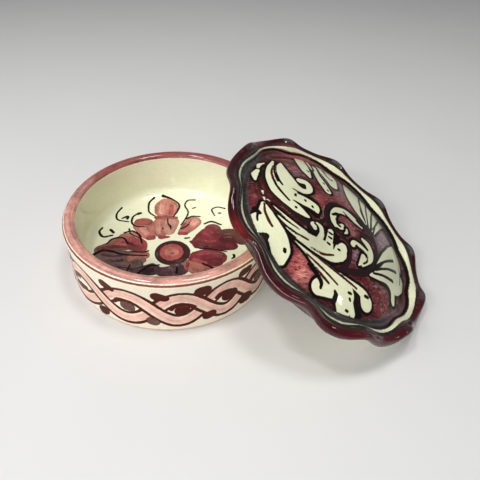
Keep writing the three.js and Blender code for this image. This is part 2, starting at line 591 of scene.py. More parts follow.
class Painting:
    """What the brush leaves on a surface: for each vertex, colours and distances to edges in millimetres."""

    def __init__(self, places, ground, depth, tone):
        count = len(places)
        self.places = places
        self.ground = np.tile([*ground, depth], (count, 1))
        self.wash = np.tile([*ground, depth], (count, 1))
        self.wash_edge = np.full(count, FAR)
        self.ink = np.full(count, FAR)
        self.ink_tone = np.tile([*tone, 1.0], (count, 1))
        self.brush = streaks(places[:, 0], places[:, 1], 0.07, 0.9)
        self.nearest = np.full(count, FAR)
        self.glazed = np.full(count, 0.36)
        self.strokes = 0

    def follow(self, distance, along, across):
        """Turns the brush marks along a stroke, where it is the nearest so far or on top."""
        self.strokes += 1
        taken = (distance < 0) | (distance < self.nearest)
        marks = streaks(along, across, 0.08, 0.85, 3.7 * self.strokes)
        self.brush[taken] = marks[taken]
        self.nearest = np.minimum(self.nearest, distance)

    def lay_wash(self, distance, tone, depth):
        """A wash of colour, over what is there."""
        taken = (distance < 0) | (distance < self.wash_edge)
        self.wash[taken] = [*tone, depth]
        self.wash_edge = np.minimum(self.wash_edge, distance)

    def lay_ink(self, distance, tone, body=1.0):
        """An ink line or dab, over what is there."""
        taken = distance < self.ink
        self.ink[taken] = distance[taken]
        self.ink_tone[taken] = [*tone, body]

    def petal(self, points, widths, tone, depth):
        """One brush mark of colour."""
        distance, along, across = sweep(self.places, points, widths)
        self.follow(distance, along, across)
        self.lay_wash(distance, tone, depth)

    def line(self, points, widths, tone, body=1.0, within=None):
        """One ink line, kept inside a shape if one is given."""
        distance, _, _ = sweep(self.places, points, widths)
        if within is not None:
            distance = np.maximum(distance, within)
        self.lay_ink(distance, tone, body)

    def line_over(self, points, widths, tone):
        """A line of another tone on top of a broader ink line."""
        distance, _, _ = sweep(self.places, points, widths)
        taken = distance < 0.12
        self.ink_tone[taken, :3] = tone
        self.ink = np.minimum(self.ink, distance)

    def leaf(self, tones, body, veins=(), cuts=(), dots=()):
        """A pale leaf with a dark outline, over what is there."""
        edge = np.full(len(self.places), FAR)
        for points, widths in body:
            distance, along, across = sweep(self.places, points, widths, 7.0)
            self.follow(distance, along, across)
            edge = np.minimum(edge, distance)
        self.ink = np.maximum(self.ink, -edge)
        self.lay_ink(np.abs(edge - 0.5) - 0.6, tones.ink)
        self.lay_wash(edge, tones.leaf_cream, 0.1)
        for points, widths in veins:
            self.line(points, widths, tones.vein_brown, within=edge + 0.2)
        for points, widths in cuts:
            self.line(points, widths, tones.ink)
        for (x, y), (across, up) in dots:
            self.line([(x, y), (x + across, y + up)], [0.55], tones.ink)

    def patch(self, x, y, radius):
        """How much a soft round patch covers each place."""
        return soft_patch(np.hypot(self.places[:, 0] - x, self.places[:, 1] - y) / radius)

    def clear(self, where):
        """Takes the washes and the ink off again."""
        self.wash_edge[where] = FAR
        self.ink[where] = FAR

    def store(self, mesh):
        """Writes the painting to a mesh."""
        for name in ("ground", "wash", "ink_tone"):
            store_values(mesh, name, "FLOAT_COLOR", getattr(self, name))
        for name in ("wash_edge", "ink", "glazed"):
            store_values(mesh, name, "FLOAT", getattr(self, name))
        store_values(mesh, "brush", "FLOAT_VECTOR", self.brush)


# The dish


def dish_outline(sizes):
    """The dish's profile, from the middle of its base out, up, over the rim and down to the floor."""
    lip, flare, flare_height, height, wall = in_millimetres(
        sizes, "lip_radius", "lip_flare", "lip_height", "height", "wall")
    crown, corner, floor, floor_crown, inset, foot = in_millimetres(
        sizes, "rim_crown", "corner", "floor", "floor_crown", "foot_inset", "foot_height")
    wall_radius = lip - flare
    inner = wall_radius - wall
    flare_start = height - crown - flare_height
    bend = 0.4

    outline = Outline(0, 0, "base", 3.0)
    outline.line(wall_radius - inset, 0)
    outline.part("wall", 0.5)
    outline.arc((wall_radius - inset, foot), (inset, foot), -90, 0)
    outline.line(wall_radius, flare_start)
    outline.path([(wall_radius + bend * flare, flare_start + bend * flare_height), (lip, height - crown)])
    outline.part("rim", 0.55)
    outline.arc(((lip + inner) / 2, height - crown), ((lip - inner) / 2, crown), 0, 180)
    outline.part("inside", 1.6)
    outline.line(inner, floor + corner + 1)
    outline.part("floor", 0.5)
    outline.line(inner, floor + corner)
    outline.arc((inner - corner, floor + corner), (corner, corner), 0, -90)
    outline.line(0, floor - floor_crown)
    return outline


BRAID_LOOPS = 14
BRAID_START = math.radians(-109)
BRAID_DRIFT = 0.6
BRAID_DRIFT_PHASE = math.radians(97)
BRAID_MIDDLE = 13.6
BRAID_CLIMB = 1.4
BRAID_CLIMB_PHASE = math.radians(95)
BRAID_SWING = 6.7
BRAID_WIDTH = 3.15
# How far the lower strand's outline stops short of the upper strand, and where in a loop they cross
BRAID_GAP = 0.5
CROSSING = 0.54
# Dabs of the braid by loop: points from the middle of an eye or a crossing, and half widths
EYE_SHAPES = {
    -1: ([(-6.4, -4.6), (-1.5, -3.2), (3.0, -1.4)], [0.8, 1.9, 0.9]),
    0: ([(-0.1, 0.5), (1.1, 0.2)], [2.8, 2.8]),
    1: ([(0.2, -0.6), (1.9, -0.6)], [2.5, 2.5]),
    2: ([(1.0, 1.0), (2.8, 0.8)], [3.2, 3.0]),
}
BROWS = {
    -1: ([(-8.0, -1.8), (-5.0, 0.6), (-1.6, 1.6)], [0.9, 0.8, 0.7]),
    0: ([(-5.4, 0.9), (-4.3, 2.9), (-1.6, 3.7), (2.0, 3.2)], [0.9, 0.8, 0.75, 0.7]),
    1: ([(-3.4, 0.6), (-2.4, 2.0), (0.4, 2.9), (3.6, 2.6), (6.4, 0.8)], [1.0, 0.95, 0.95, 0.85, 0.7]),
    2: ([(-4.6, 2.4), (-3.2, 3.7), (-0.6, 4.1), (2.2, 3.6)], [0.9, 0.85, 0.8, 0.7]),
}
UPPER_DABS = {
    -1: ([(1.2, 9.5), (4.8, 8.1)], [2.4, 1.6]),
    0: ([(0.7, 8.8), (4.2, 7.7)], [2.4, 1.9]),
    1: ([(-2.4, 9.0), (-0.6, 9.2)], [2.9, 2.8]),
    2: ([(-2.2, 10.0), (0.6, 10.2)], [2.5, 2.3]),
}
LOWER_DABS = {
    -1: ([(-1.6, -8.9), (-0.4, -8.2)], [2.6, 2.4]),
    0: ([(-2.0, -6.6), (-0.6, -7.2)], [2.4, 2.3]),
    1: ([(0.6, -6.9), (2.4, -6.6)], [2.4, 2.3]),
    2: ([(-0.2, -7.4), (2.2, -8.0)], [3.1, 2.8]),
}
# How thick the paint is in the thinner eyes and lower dabs
DAB_BODY = {0: 0.84, 1: 0.94}


def braid_turns(azimuths):
    """How many loops of the braid come before an azimuth; the loops are not quite even."""
    drift = np.cos(azimuths + BRAID_DRIFT_PHASE) - math.cos(BRAID_START + BRAID_DRIFT_PHASE)
    return BRAID_LOOPS * (azimuths - BRAID_START) / (2 * math.pi) - BRAID_DRIFT * drift


def braid_azimuths(turns):
    """The azimuth of each count of loops."""
    fine = np.linspace(-3 * math.pi, 3 * math.pi, 6001)
    return np.interp(turns, braid_turns(fine), fine)


def braid_height(azimuths):
    """The braid's middle height; the hand that painted it drifted up and down."""
    return BRAID_MIDDLE + BRAID_CLIMB * np.sin(azimuths + BRAID_CLIMB_PHASE)


def around(turned, azimuth, radius):
    """The outside of the dish unrolled, in millimetres, about an azimuth."""
    return np.column_stack([wrapped(turned.angle - azimuth) * radius, turned.height])


def paint_braid(painting, turned, tones, radius):
    """Two strands that twist round the wall, with dabs in their loops and over their crossings."""
    outside = turned.zone == "wall"
    loop_steps = 8
    strands = []
    for first in (0, 1):
        distance = np.full(len(painting.places), FAR)
        along = np.zeros(len(distance))
        across = np.zeros(len(distance))
        falling = np.zeros(len(distance), dtype=bool)
        for loop in range(first, BRAID_LOOPS + first):
            rises = (loop - first) % 2
            turns = loop + np.linspace(0, 1, loop_steps + 1)
            azimuths = braid_azimuths(turns)
            middle = azimuths[loop_steps // 2]
            swing = (1 - 2 * rises) * BRAID_SWING * np.cos(math.pi * (turns - loop))
            points = list(zip((azimuths - middle) * radius, braid_height(azimuths) + swing))
            found, here, side = sweep(around(turned, middle, radius), points, [BRAID_WIDTH])
            closer = outside & (found < distance)
            distance[closer] = found[closer]
            along[closer] = here[closer] + 30 * rises
            across[closer] = side[closer]
            falling[closer] = not rises
        strands.append((distance, along, across, falling))

    first, second = strands
    first_on_top = first[3] & ~second[3] | (first[3] == second[3]) & (first[0] < second[0])
    top, *marks = [np.where(first_on_top, a, b) for a, b in zip(first[:3], second[:3])]
    low, *low_marks = [np.where(first_on_top, b, a) for a, b in zip(first[:3], second[:3])]
    along, across = [np.where(top > 0, b, a) for a, b in zip(marks, low_marks)]

    edge = np.minimum(top, low)
    painting.follow(edge, along, across)
    painting.lay_wash(edge, tones.ribbon_pink, 0.42)
    light = soft_step(np.abs(across + 0.5 * np.sin(along * 0.16)), 0.9, 2.3) * (edge < 0) * 0.7
    blend(painting.wash, light, tones.wall_cream)
    line_half = 0.76 + 0.1 * np.sin(along * 0.21 + across * 0.5)
    lower_line = np.maximum(np.abs(low) - line_half, BRAID_GAP - top)
    painting.lay_ink(np.minimum(np.abs(top) - line_half, lower_line), tones.braid_brown)

    for loop in range(-1, BRAID_LOOPS - 1):
        eye = float(braid_azimuths(loop))
        crossing = float(braid_azimuths(loop + CROSSING))
        kind = loop if loop in EYE_SHAPES else loop % 3
        for azimuth, shapes in ((eye, EYE_SHAPES), (eye, BROWS), (crossing, UPPER_DABS),
                                (crossing, LOWER_DABS)):
            points, widths = shapes[kind]
            lifted = [(x, braid_height(azimuth) + y) for x, y in points]
            dab, _, _ = sweep(around(turned, azimuth, radius), lifted, widths)
            body = DAB_BODY.get(kind, 1.0) if shapes in (EYE_SHAPES, LOWER_DABS) else 1.0
            painting.lay_ink(np.where(outside, dab, FAR), tones.braid_brown, body)


# Strokes on the floor: points from its middle and half widths, in millimetres, then tone and strength
PETALS = [
    ([(-36, -4.4), (-30, -1.4), (-24, 0)], [3.4, 3.8, 4.6], "mauve", 1.1),
    ([(-26, 5.4), (-20, 6)], [2.6, 3.4], "salmon", 0.85),
    ([(-30.6, 2), (-26, 3)], [2.6, 3.6], "salmon", 0.62),
    ([(-27, 0), (-23.4, 2.4)], [3.2, 3.0], "rose", 0.95),
    ([(-20, 3), (-16.6, 0), (-15.6, -3)], [3.6, 3.4, 2.8], "brick", 1.1),
    ([(-22, -2), (-17, -3.6)], [2.2, 2.0], "brick", 0.75),
    ([(-37, -8), (-28, -9.4), (-19, -8)], [2.6, 5.0, 3.0], "mauve", 1.1),
    ([(-33, -10.6), (-28, -10)], [2.6, 2.6], "mauve", 1.5),
    ([(-19, -10), (-13.6, -8)], [3.0, 2.6], "salmon", 0.85),
    ([(-18, -13), (-14.4, -11.6)], [2.6, 2.0], "mauve", 1.7),
    ([(-30, -15), (-20, -17), (-17, -14.6)], [4.2, 4.4, 3.4], "mauve", 0.92),
    ([(-26, -13), (-21, -14.6)], [1.6, 2.2], "mauve", 1.35),
    ([(-35, -7.6), (-30, -8.6), (-25, -8.2)], [0.7, 1.0, 0.6], "plum", 1.5),
    ([(-29, -12.4), (-24, -11.6)], [0.7, 0.9], "plum", 1.5),
    ([(-25, -16.4), (-19, -17.6)], [0.8, 1.0], "plum", 1.3),
    ([(-26, 1.6), (-22, 0.4), (-19, -1)], [0.6, 0.8, 0.5], "maroon", 1.0),
    ([(-22, 8), (-19, 5.4)], [0.6, 0.8], "blush", 0.8),
    ([(-37, -3.8), (-31, -2), (-24, -2.2)], [1.2, 1.4, 0.8], "maroon", 0.9),
    ([(-16, -19.6), (-9, -17.4), (-4, -15.6)], [3.2, 4.0, 2.8], "plum", 1.2),
    ([(-12, -19.0), (-8, -18.8)], [2.0, 2.4], "plum", 0.5),
    ([(-3.4, -17.6), (4, -17)], [4.8, 4.6], "plum", 1.8),
    ([(-3, -14.6), (0, -18)], [1.2, 1.6], "plum", 2.6),
    ([(3.6, -19), (5.4, -15)], [1.0, 1.6], "plum", 1.1),
    ([(7.4, -13.4), (12, -16.6), (20, -18)], [2.4, 4.2, 3.8], "salmon", 0.8),
    ([(7.6, -17.5), (7.9, -13.5)], [0.7, 0.9], "brick", 1.0),
    ([(24, 6.4), (30, 6.8), (35.4, 3)], [4.4, 5.0, 3.8], "maroon", 0.55),
    ([(25, -1), (30, -1.4)], [4.0, 3.0], "maroon", 0.65),
    ([(20.4, 11.4), (20, 8)], [4.4, 5.2], "maroon", 1.1),
    ([(17, 8.6), (13.4, 5.6)], [3.6, 2.4], "maroon", 1.3),
    ([(13.6, 2.6), (19, 3.6)], [4.0, 4.4], "maroon", 1.1),
    ([(10, 0.2), (16, -0.6), (24, -1.4), (28, -1.6)], [2.8, 3.0, 2.8, 2.4], "maroon", 0.85),
    ([(16, 8.4), (20, 4.8)], [0.9, 1.2], "maroon", 1.7),
    ([(17, 1.6), (21, 2.4)], [0.7, 0.9], "maroon", 1.6),
    ([(10.5, -9), (16.6, -8.8), (22.5, -9.6)], [3.2, 5.2, 4.6], "maroon", 1.3),
    ([(17, -13), (22, -12.4)], [2.6, 3.2], "maroon", 1.0),
    ([(11, -11), (16, -13.4)], [1.2, 1.2], "brick", 1.4),
    ([(14, -6), (20, -6.2)], [0.9, 0.8], "maroon", 1.8),
    ([(-16.6, 15), (-13.4, 7.6)], [5.8, 5.2, 3.8], "salmon", 0.9),
    ([(-19, 17.4), (-14.6, 17.2)], [2.8, 2.6], "brick", 1.15),
    ([(-17, 12), (-14.6, 8.6)], [1.8, 1.5], "blush", 1.0),
    ([(-12.6, 4.8), (-10.8, 5)], [1.8, 1.6], "brick", 1.1),
    ([(10, 17.4), (7.6, 13.4), (5, 9.8)], [4.4, 3.8, 2.9], "salmon", 0.88),
    ([(11.2, 18), (9.8, 15.6)], [2.2, 1.6], "blush", 1.15),
    ([(3.2, 8.4), (6.4, 8.2)], [1.4, 1.1], "brick", 1.2),
    ([(5.6, 15.6), (4.4, 12.6)], [1.3, 1.4], "brick", 1.2),
    ([(-5.6, 34), (-5.4, 27.4)], [4.6, 6.6, 6.4], "salmon", 1.0),
    ([(-8, 33), (-7.8, 26)], [1.2, 1.6], "blush", 1.0),
    ([(-2.6, 32), (-2.6, 25)], [1.0, 1.4], "brick", 1.5),
    ([(-7.4, 17), (-7, 8.6)], [4.2, 4.0, 3.2], "salmon", 0.85),
    ([(-1.6, 17.4), (-2.4, 10)], [4.0, 3.6, 2.8], "blush", 0.85),
    ([(-9, 16), (-8, 9)], [1.2, 1.2], "blush", 0.9),
    ([(-10.4, 21.2), (-5, 21.8), (0.4, 21)], [1.2, 1.5, 1.2], "brick", 1.15),
    ([(-6.6, 5.4), (-3, 5.2)], [1.5, 1.3], "brick", 1.15),
]
CURLS = [
    ([(-13, 39), (-15.4, 34.5), (-15.2, 28), (-14, 25), (-11, 22.4)], [0.6, 0.45, 0.4]),
    ([(-8, 40.6), (-3, 38.2), (1.6, 33), (1.2, 27.5), (-1, 22)], [0.9, 0.5, 0.55, 0.3]),
    ([(-30.3, 29.2), (-32.4, 24), (-31, 19.2), (-25, 17.6)], [0.4, 0.5, 0.4]),
    ([(-29, 20.4), (-26.2, 22), (-26, 20)], [0.4, 0.8, 0.6]),
    ([(-20, 25.2), (-23, 22), (-23.2, 17), (-20.5, 14), (-16, 13.6)], [0.5, 0.5, 0.35]),
    ([(-20.6, 24.4), (-19.4, 25)], [0.9, 0.8]),
    ([(-38.2, 12.5), (-39.2, 9), (-36.5, 5.4), (-32, 6.6)], [0.45, 0.6, 0.5]),
    ([(-33.6, 11), (-31.8, 8.8)], [0.7, 0.7]),
    ([(10.6, 37), (6.6, 36.6), (5, 32), (7, 26), (5.6, 20), (3.4, 15)], [0.55, 0.4, 0.4, 0.35]),
    ([(9.4, 29.2), (11, 30.2)], [0.4, 0.4]),
    ([(27.5, 29), (23.5, 30.4), (20.2, 28), (21.8, 22.6)], [0.45, 0.45, 0.3]),
    ([(24.2, 25), (24.8, 25)], [0.6, 0.6]),
    ([(16, 16), (20, 17.8), (24.8, 15.2)], [0.5, 0.6, 0.5]),
    ([(5.4, 19.6), (9, 22.2), (13.6, 22)], [0.35, 0.5, 0.45]),
    ([(3.4, 12), (6.4, 14), (8, 17)], [0.3, 0.35, 0.25]),
    ([(-26, 8.6), (-22, 10), (-18, 7), (-16, 1)], [0.55, 0.5, 0.4]),
    ([(-24, 12), (-22.6, 8), (-18, 5)], [0.35, 0.35, 0.3]),
    ([(-34, 0), (-31, 4), (-26, 4.6), (-23, 0.2)], [0.35, 0.5, 0.45]),
    ([(-38.6, -7.6), (-35, -4.8), (-30, -5.4), (-24, -7.6), (-12.4, -8.2)], [0.8, 0.6, 0.35]),
    ([(-21, -5.2), (-15, -5.8), (-12.2, -4.8)], [0.25, 0.35, 0.5]),
    ([(30.4, -7.8), (30.6, -9.2), (29.4, -10.6)], [0.6, 0.55, 0.3]),
    ([(6, 4.6), (8.2, 5)], [0.5, 0.4]),
    ([(13.6, -3.2), (19, -3.6), (27, -5.6)], [0.35, 0.4, 0.3]),
    ([(15, -13.5), (20, -16.8)], [0.4, 0.5]),
    ([(-4, 20.4), (-3.6, 16.4), (-2.2, 14), (-1.8, 11.6)], [0.25, 0.35, 0.5, 0.25]),
    ([(-6.2, 12.6), (-6, 11.8)], [0.35, 0.35]),
    ([(-16, -20.5), (-11, -15.6), (-6, -14.6)], [0.5, 0.5, 0.4]),
    ([(-21, -18.6), (-20, -14.6)], [0.35, 0.3]),
    ([(2.6, -20), (2.8, -16)], [0.5, 0.4]),
]


def paint_flower(painting, tones):
    """The flower on the floor: petals round a dark ring, then curls of ink."""
    for points, widths, tone, strength in PETALS:
        painting.petal(points, widths, times(getattr(tones, tone), 0.92 * strength), 0.8)

    x, y = painting.places.T
    hub = np.hypot(x, y + 6)
    turn = np.arctan2(y + 6, x)
    hub_radius = 8.9
    halo_radius = 11.4 - 2.3 * soft_step(np.cos(turn + math.radians(50)), 0.35, 0.8)
    halo = hub < halo_radius
    painting.wash_edge[halo] = np.maximum(painting.wash_edge, halo_radius - hub)[halo]
    painting.follow(hub - hub_radius - 0.3, turn * 8, hub)
    for left, down, radius, tone, strength, depth in (
            (0, 6, hub_radius, tones.dusk, 0.44, 0.4), (0.5, 5.6, 5.9, tones.brick, 1.25, 0.8),
            (0.5, 5.6, 3.6, tones.salmon, 0.82, 0.9), (0, 6.4, 0.9, tones.brick, 1.0, 0.5)):
        painting.lay_wash(np.hypot(x + left, y + down) - radius, times(tone, strength), depth)

    for points, widths in CURLS:
        painting.line(points, [1.1 * width + 0.04 for width in widths], tones.ink, 0.95)


def paint_dish(turned, sizes, tones):
    """The whole painting of the dish."""
    lip, flare, wall, corner = in_millimetres(sizes, "lip_radius", "lip_flare", "wall", "corner")
    radius = lip - flare
    far_from_floor = radius - wall - corner + 40
    rim_line, rim_line_half = 1.3, 0.48
    foot_line, foot_line_half = 1.3, 0.4
    band_start, band_end = 2.3, 0.7
    within = np.isin(turned.zone, ("inside", "floor"))
    outside = ~within
    unrolled = np.where(within, turned.run.max() - turned.run, far_from_floor)
    stretch = unrolled / np.maximum(turned.radius, TINY)
    places = np.column_stack([turned.x * stretch, turned.y * stretch])
    painting = Painting(places, tones.wall_cream, 0.04, tones.ink)
    painting.ground[within] = [*tones.ivory, 0.03]
    painting.wash[within] = [*tones.ivory, 0.03]
    circling = streaks(turned.angle * radius, turned.run, 0.05, 0.7)
    painting.brush = circling.copy()
    bare = turned.zone == "base"
    painting.ground[bare] = [*tones.clay, 0.25]
    painting.glazed[bare] = 0.0

    paint_flower(painting, tones)
    painting.clear(outside)
    painting.brush[outside] = circling[outside]
    painting.nearest[outside] = FAR
    paint_braid(painting, turned, tones, radius)

    rim_run = turned.run[turned.zone == "rim"]
    crown = turned.run - rim_run.min() + 0.5
    crown_length = rim_run.max() - rim_run.min() + 0.5
    band = np.maximum(band_start - crown, crown - crown_length + band_end)
    inward = crown > 1.0
    banded = inward & (band < 2.0)
    # Painted shade: the band darkens towards its far side, standing in for the sheen on its near side
    far_side_shade = soft_step(np.abs(turned.angle - math.radians(95)), 1.5, 0.7)
    painting.wash[banded] = [*tones.rim_pink, 0.85]
    blend(painting.wash, far_side_shade * banded, tones.rim_far_shade)
    painting.glazed[inward] = 0.9
    painting.wash_edge = np.where(inward & (band < painting.wash_edge), band, painting.wash_edge)
    line = np.abs(crown - rim_line) - rim_line_half
    painting.lay_ink(np.where(crown > -2, line, FAR), tones.terracotta, 0.95)
    line = np.abs(turned.height - foot_line) - foot_line_half
    painting.lay_ink(np.where(turned.zone == "wall", line, FAR), tones.rim_pink, 0.8)
    return painting


# The lid


def lid_wave(sizes, azimuths):
    """1 where the brim bulges out and droops, -1 where it was pinched in and up."""
    drift = sizes.wave_drift * np.sin(azimuths - sizes.wave_drift_phase)
    turn = sizes.waves * (azimuths - sizes.wave_phase) + drift
    return np.cos(turn) - sizes.wave_pinch * np.cos(2 * turn)


def lid_outline(sizes):
    """The lid's profile, from the middle of its hollow out, round the ring and the brim, to the top."""
    brim, roll, roll_height, crest, crest_height, groove_depth = in_millimetres(
        sizes, "brim_radius", "roll", "roll_height", "crest_radius", "crest_height", "groove_depth")
    valley, valley_height, valley_width, rise, wall = in_millimetres(
        sizes, "valley_radius", "valley_height", "valley_width", "dome_rise", "wall")
    ring, ring_wall, ring_depth, corner = in_millimetres(
        sizes, "ring_radius", "ring_wall", "ring_depth", "ring_corner")
    hollow, hollow_corner, seat_inner, seat_outer = in_millimetres(
        sizes, "hollow_radius", "hollow_corner", "seat_inner", "seat_outer")
    ring_inner = ring - ring_wall
    ceiling_steps = 12
    dome_spacing = 0.42

    def dome(radius):
        return valley_height + rise * (1 - (radius / valley) ** 2)

    def share(radius):
        return max(0.0, (radius - valley) / (brim - valley))

    outline = Outline(0, dome(0) - wall, "hollow", 3.0)
    outline.part("hollow", 2.0)
    edge = hollow - hollow_corner
    for i in range(1, ceiling_steps + 1):
        radius = edge * i / ceiling_steps
        outline.line(radius, dome(radius) - wall)
    outline.path([(hollow - 0.6, dome(hollow) - wall - 1), (hollow, dome(hollow) - wall - hollow_corner)])
    outline.line(ring_inner, corner - ring_depth)
    outline.part("foot", 0.6)
    outline.arc((ring_inner + corner, corner - ring_depth), (corner, corner), 180, 270)
    outline.arc((ring - corner, corner - ring_depth), (corner, corner), 270, 360)
    outline.part("ring", 1.6)
    outline.line(seat_inner, 0)
    outline.part("seat", 1.2)
    outline.line(seat_outer, 0)
    outline.part("roll", 0.46)
    outline.line(brim - roll, roll_height - roll, share(brim - roll))
    outline.arc((brim - roll, roll_height), (roll, roll), -90, 105, share)
    outline.part("brim", 0.46)
    bank = valley + valley_width / 2
    groove = (crest + brim - roll) / 2
    dome_edge = valley - valley_width / 2 - 0.3
    outline.path([
        (groove, crest_height + 0.35 - groove_depth),
        (crest, crest_height),
        ((bank + crest) / 2, (valley_height + crest_height) / 2),
        (bank, valley_height + 0.1),
        (valley, valley_height),
        (dome_edge, dome(dome_edge)),
    ], share)
    outline.part("top", 0.47)
    start = outline.rows[-1][0]
    count = math.ceil(start / dome_spacing)
    for i in range(count - 1, -1, -1):
        outline.line(start * i / count, dome(start * i / count))
    return outline


# Leaves on the dome: strokes of points from its middle and half widths, in millimetres
LEFT_LEAF = {
    "body": [
        ([(-35, 18), (-35.6, 10), (-34.2, 2), (-30.4, -4.6), (-25.4, -8.6)], [0.6, 1.5, 2.2, 2.8, 2.6]),
        ([(-31.6, 18.6), (-30.9, 12), (-28.4, 6), (-25, 1)], [0.5, 2.8, 3.8, 4.0]),
        ([(-28.6, -1.6), (-25, -4.4)], [3.6, 3.2]),
        ([(-24, 2), (-20, 1.3), (-17.7, 3.4), (-17.7, 6.4), (-19.4, 8.7), (-22, 8.2)],
         [2.4, 1.8, 1.7, 1.6, 1.7, 1.9]),
        ([(-24.4, -4.6), (-18.4, -5), (-13.8, -5.7), (-12, -7.8)], [2.6, 2.7, 2.3, 0.7]),
        ([(-26, -8.6), (-21, -10.8), (-17, -12.3), (-15, -12.8)], [2.2, 2.3, 1.3, 0.6]),
    ],
    "veins": [
        ([(-33.4, 17), (-33.6, 12), (-32.8, 7)], [0.5, 0.6, 0.6]),
        ([(-34.6, 13), (-34.6, 7), (-33.2, 2)], [0.4, 0.5, 0.6]),
    ],
    "cuts": [
        ([(-32.8, 7.4), (-31, 3), (-28.8, -0.2)], [0.6, 0.65, 0.45]),
        ([(-33.3, 2.4), (-31, -2), (-28, -5.4), (-24.5, -8.3)], [0.6, 0.6, 0.6, 0.5]),
        ([(-24.4, -0.1), (-21, -1.0), (-16.4, -1.2), (-12.6, -2.2)], [0.3, 0.65, 0.7, 0.5]),
        ([(-22.8, -7.3), (-17.4, -8.6), (-11.6, -10)], [0.35, 0.8, 1.2]),
        ([(-22.8, 5.3), (-20.6, 3.9), (-19.6, 4.0), (-20.2, 6.2)], [0.35, 0.9, 0.8, 0.35]),
    ],
    "dots": [((-22.7, -3.1), (0.1, -0.9)), ((-18.3, -4.2), (0.2, -0.4)), ((-14.7, -5.8), (0.2, -0.5)),
             ((-21.1, -10.5), (0.2, -0.4))],
}
MIDDLE_LEAF = {
    "body": [
        ([(-29.6, -14.6), (-25, -17.2), (-19, -19.6), (-14, -20.9)], [0.25, 0.65, 0.8, 0.9]),
        ([(-27, -18.4), (-22, -20.7), (-16, -22)], [0.3, 0.75, 1.0]),
        ([(-22.6, -22.4), (-17, -24.1), (-10, -24.8)], [0.25, 0.7, 1.2]),
        ([(-16, -22), (-9, -22.7), (-3, -22.6), (2, -20.4)], [1.6, 2.6, 3.7, 3.2]),
        ([(-8.2, -20.6), (-7.9, -17.2), (-9, -14.6), (-11, -13.7)], [1.5, 1.2, 1.0, 0.7]),
        ([(-12.4, -15.1), (-11.2, -16.6)], [1.35, 0.9]),
        ([(-4.1, -21), (-4.2, -17), (-4.5, -13.9)], [1.9, 1.6, 1.4]),
        ([(1.6, -21), (2.3, -18.4), (2.4, -17.4)], [2.6, 2.5, 2.1]),
        ([(-17, -25), (-9, -26.3), (-1, -25.6), (3.2, -22.6)], [0.3, 0.55, 1.0, 1.2]),
    ],
    "veins": [
        ([(-27.4, -16.4), (-22, -19.4), (-17, -20.8)], [0.4, 0.5, 0.35]),
        ([(-24.4, -21.1), (-19, -22.9), (-12.3, -23.3)], [0.35, 0.6, 0.45]),
        ([(-10, -25.7), (-5, -25.6), (-0.6, -23.3)], [0.35, 0.6, 0.4]),
    ],
    "cuts": [
        ([(-14, -17.4), (-11.6, -19.3), (-10, -18.6), (-9.9, -16.4)], [0.9, 1.1, 0.8, 0.4]),
        ([(-11.9, -14.3), (-10.7, -14.7)], [0.45, 0.5]),
        ([(-5.9, -19.6), (-6.3, -17), (-7.0, -13.6)], [0.3, 0.6, 1.0]),
        ([(-1.4, -20.8), (-1.5, -18), (-1.4, -14.6)], [0.25, 0.7, 1.6]),
    ],
    "dots": [((-4.9, -14.7), (1.0, -0.1)), ((-4.6, -16.8), (1.0, -0.1)), ((-4.5, -19.8), (1.0, -0.2)),
             ((0.6, -19.6), (0.7, 0.1))],
}
LOWER_LEAF = {
    "body": [
        ([(-33.4, -15.2), (-31, -20), (-28, -24), (-23.6, -28), (-20.4, -32.6), (-18.5, -36.6)],
         [1.0, 3.0, 3.9, 3.9, 3.7, 1.5]),
        ([(-33.2, -23.2), (-31, -26.6)], [2.7, 2.8]),
    ],
    "veins": [
        ([(-33, -15), (-31.5, -19), (-29, -22.4), (-26.8, -24.6)], [0.4, 0.55, 0.6, 0.45]),
    ],
    "cuts": [
        ([(-35.6, -19.4), (-34, -20), (-33, -20.6)], [1.0, 0.8, 0.7]),
        ([(-33.8, -20.8), (-33.4, -22.6), (-32.7, -24.3)], [0.5, 0.5, 0.35]),
        ([(-27.8, -29.2), (-27, -29.4), (-26.6, -31.2)], [1.0, 0.8, 0.5]),
    ],
    "dots": [((-19.4, -31.5), (0.3, -0.9)), ((-19, -31.6), (0.3, -0.9))],
}
BOTTOM_LEAF = {
    "body": [
        ([(-17.4, -26.2), (-12, -28.2), (-5, -30.6), (3, -33.2), (9, -34.6)], [0.3, 0.7, 1.9, 4.0, 5.0]),
        ([(-12, -27.4), (0, -28.9), (10, -28.9), (17, -28.8), (20, -30.8)], [0.25, 0.6, 1.2, 1.9, 3.3]),
        ([(3.4, -36.2), (-1.8, -37.8)], [3.0, 3.2]),
        ([(9.6, -36), (10.8, -38.6)], [4.3, 3.6]),
        ([(12, -36), (15.4, -38.4)], [2.4, 1.4]),
    ],
    "veins": [
        ([(-13, -28.6), (-5, -30.6), (5, -33)], [0.3, 0.5, 0.4]),
        ([(-10, -27.8), (2, -28.9), (13.5, -29)], [0.3, 0.5, 0.45]),
        ([(-13, -29.8), (-5, -32.6), (1.3, -34.6)], [0.4, 0.6, 0.5]),
    ],
    "cuts": [
        ([(4.8, -35.8), (5.8, -36.8), (5.9, -39.6)], [0.6, 1.0, 1.1]),
        ([(-9, -32.4), (-4.2, -34.4), (-1.6, -36), (-1.0, -37.9)], [0.5, 0.8, 0.85, 0.6]),
        ([(14.7, -31.2), (15.6, -34.6), (18, -36.6)], [0.5, 1.2, 1.8]),
        ([(18.4, -28.8), (20, -28.4)], [0.65, 0.65]),
    ],
    "dots": [((10.6, -32.7), (1.2, 0.3)), ((11.9, -34.4), (0.5, -0.4)), ((12.1, -38.9), (0.8, 0.1))],
}
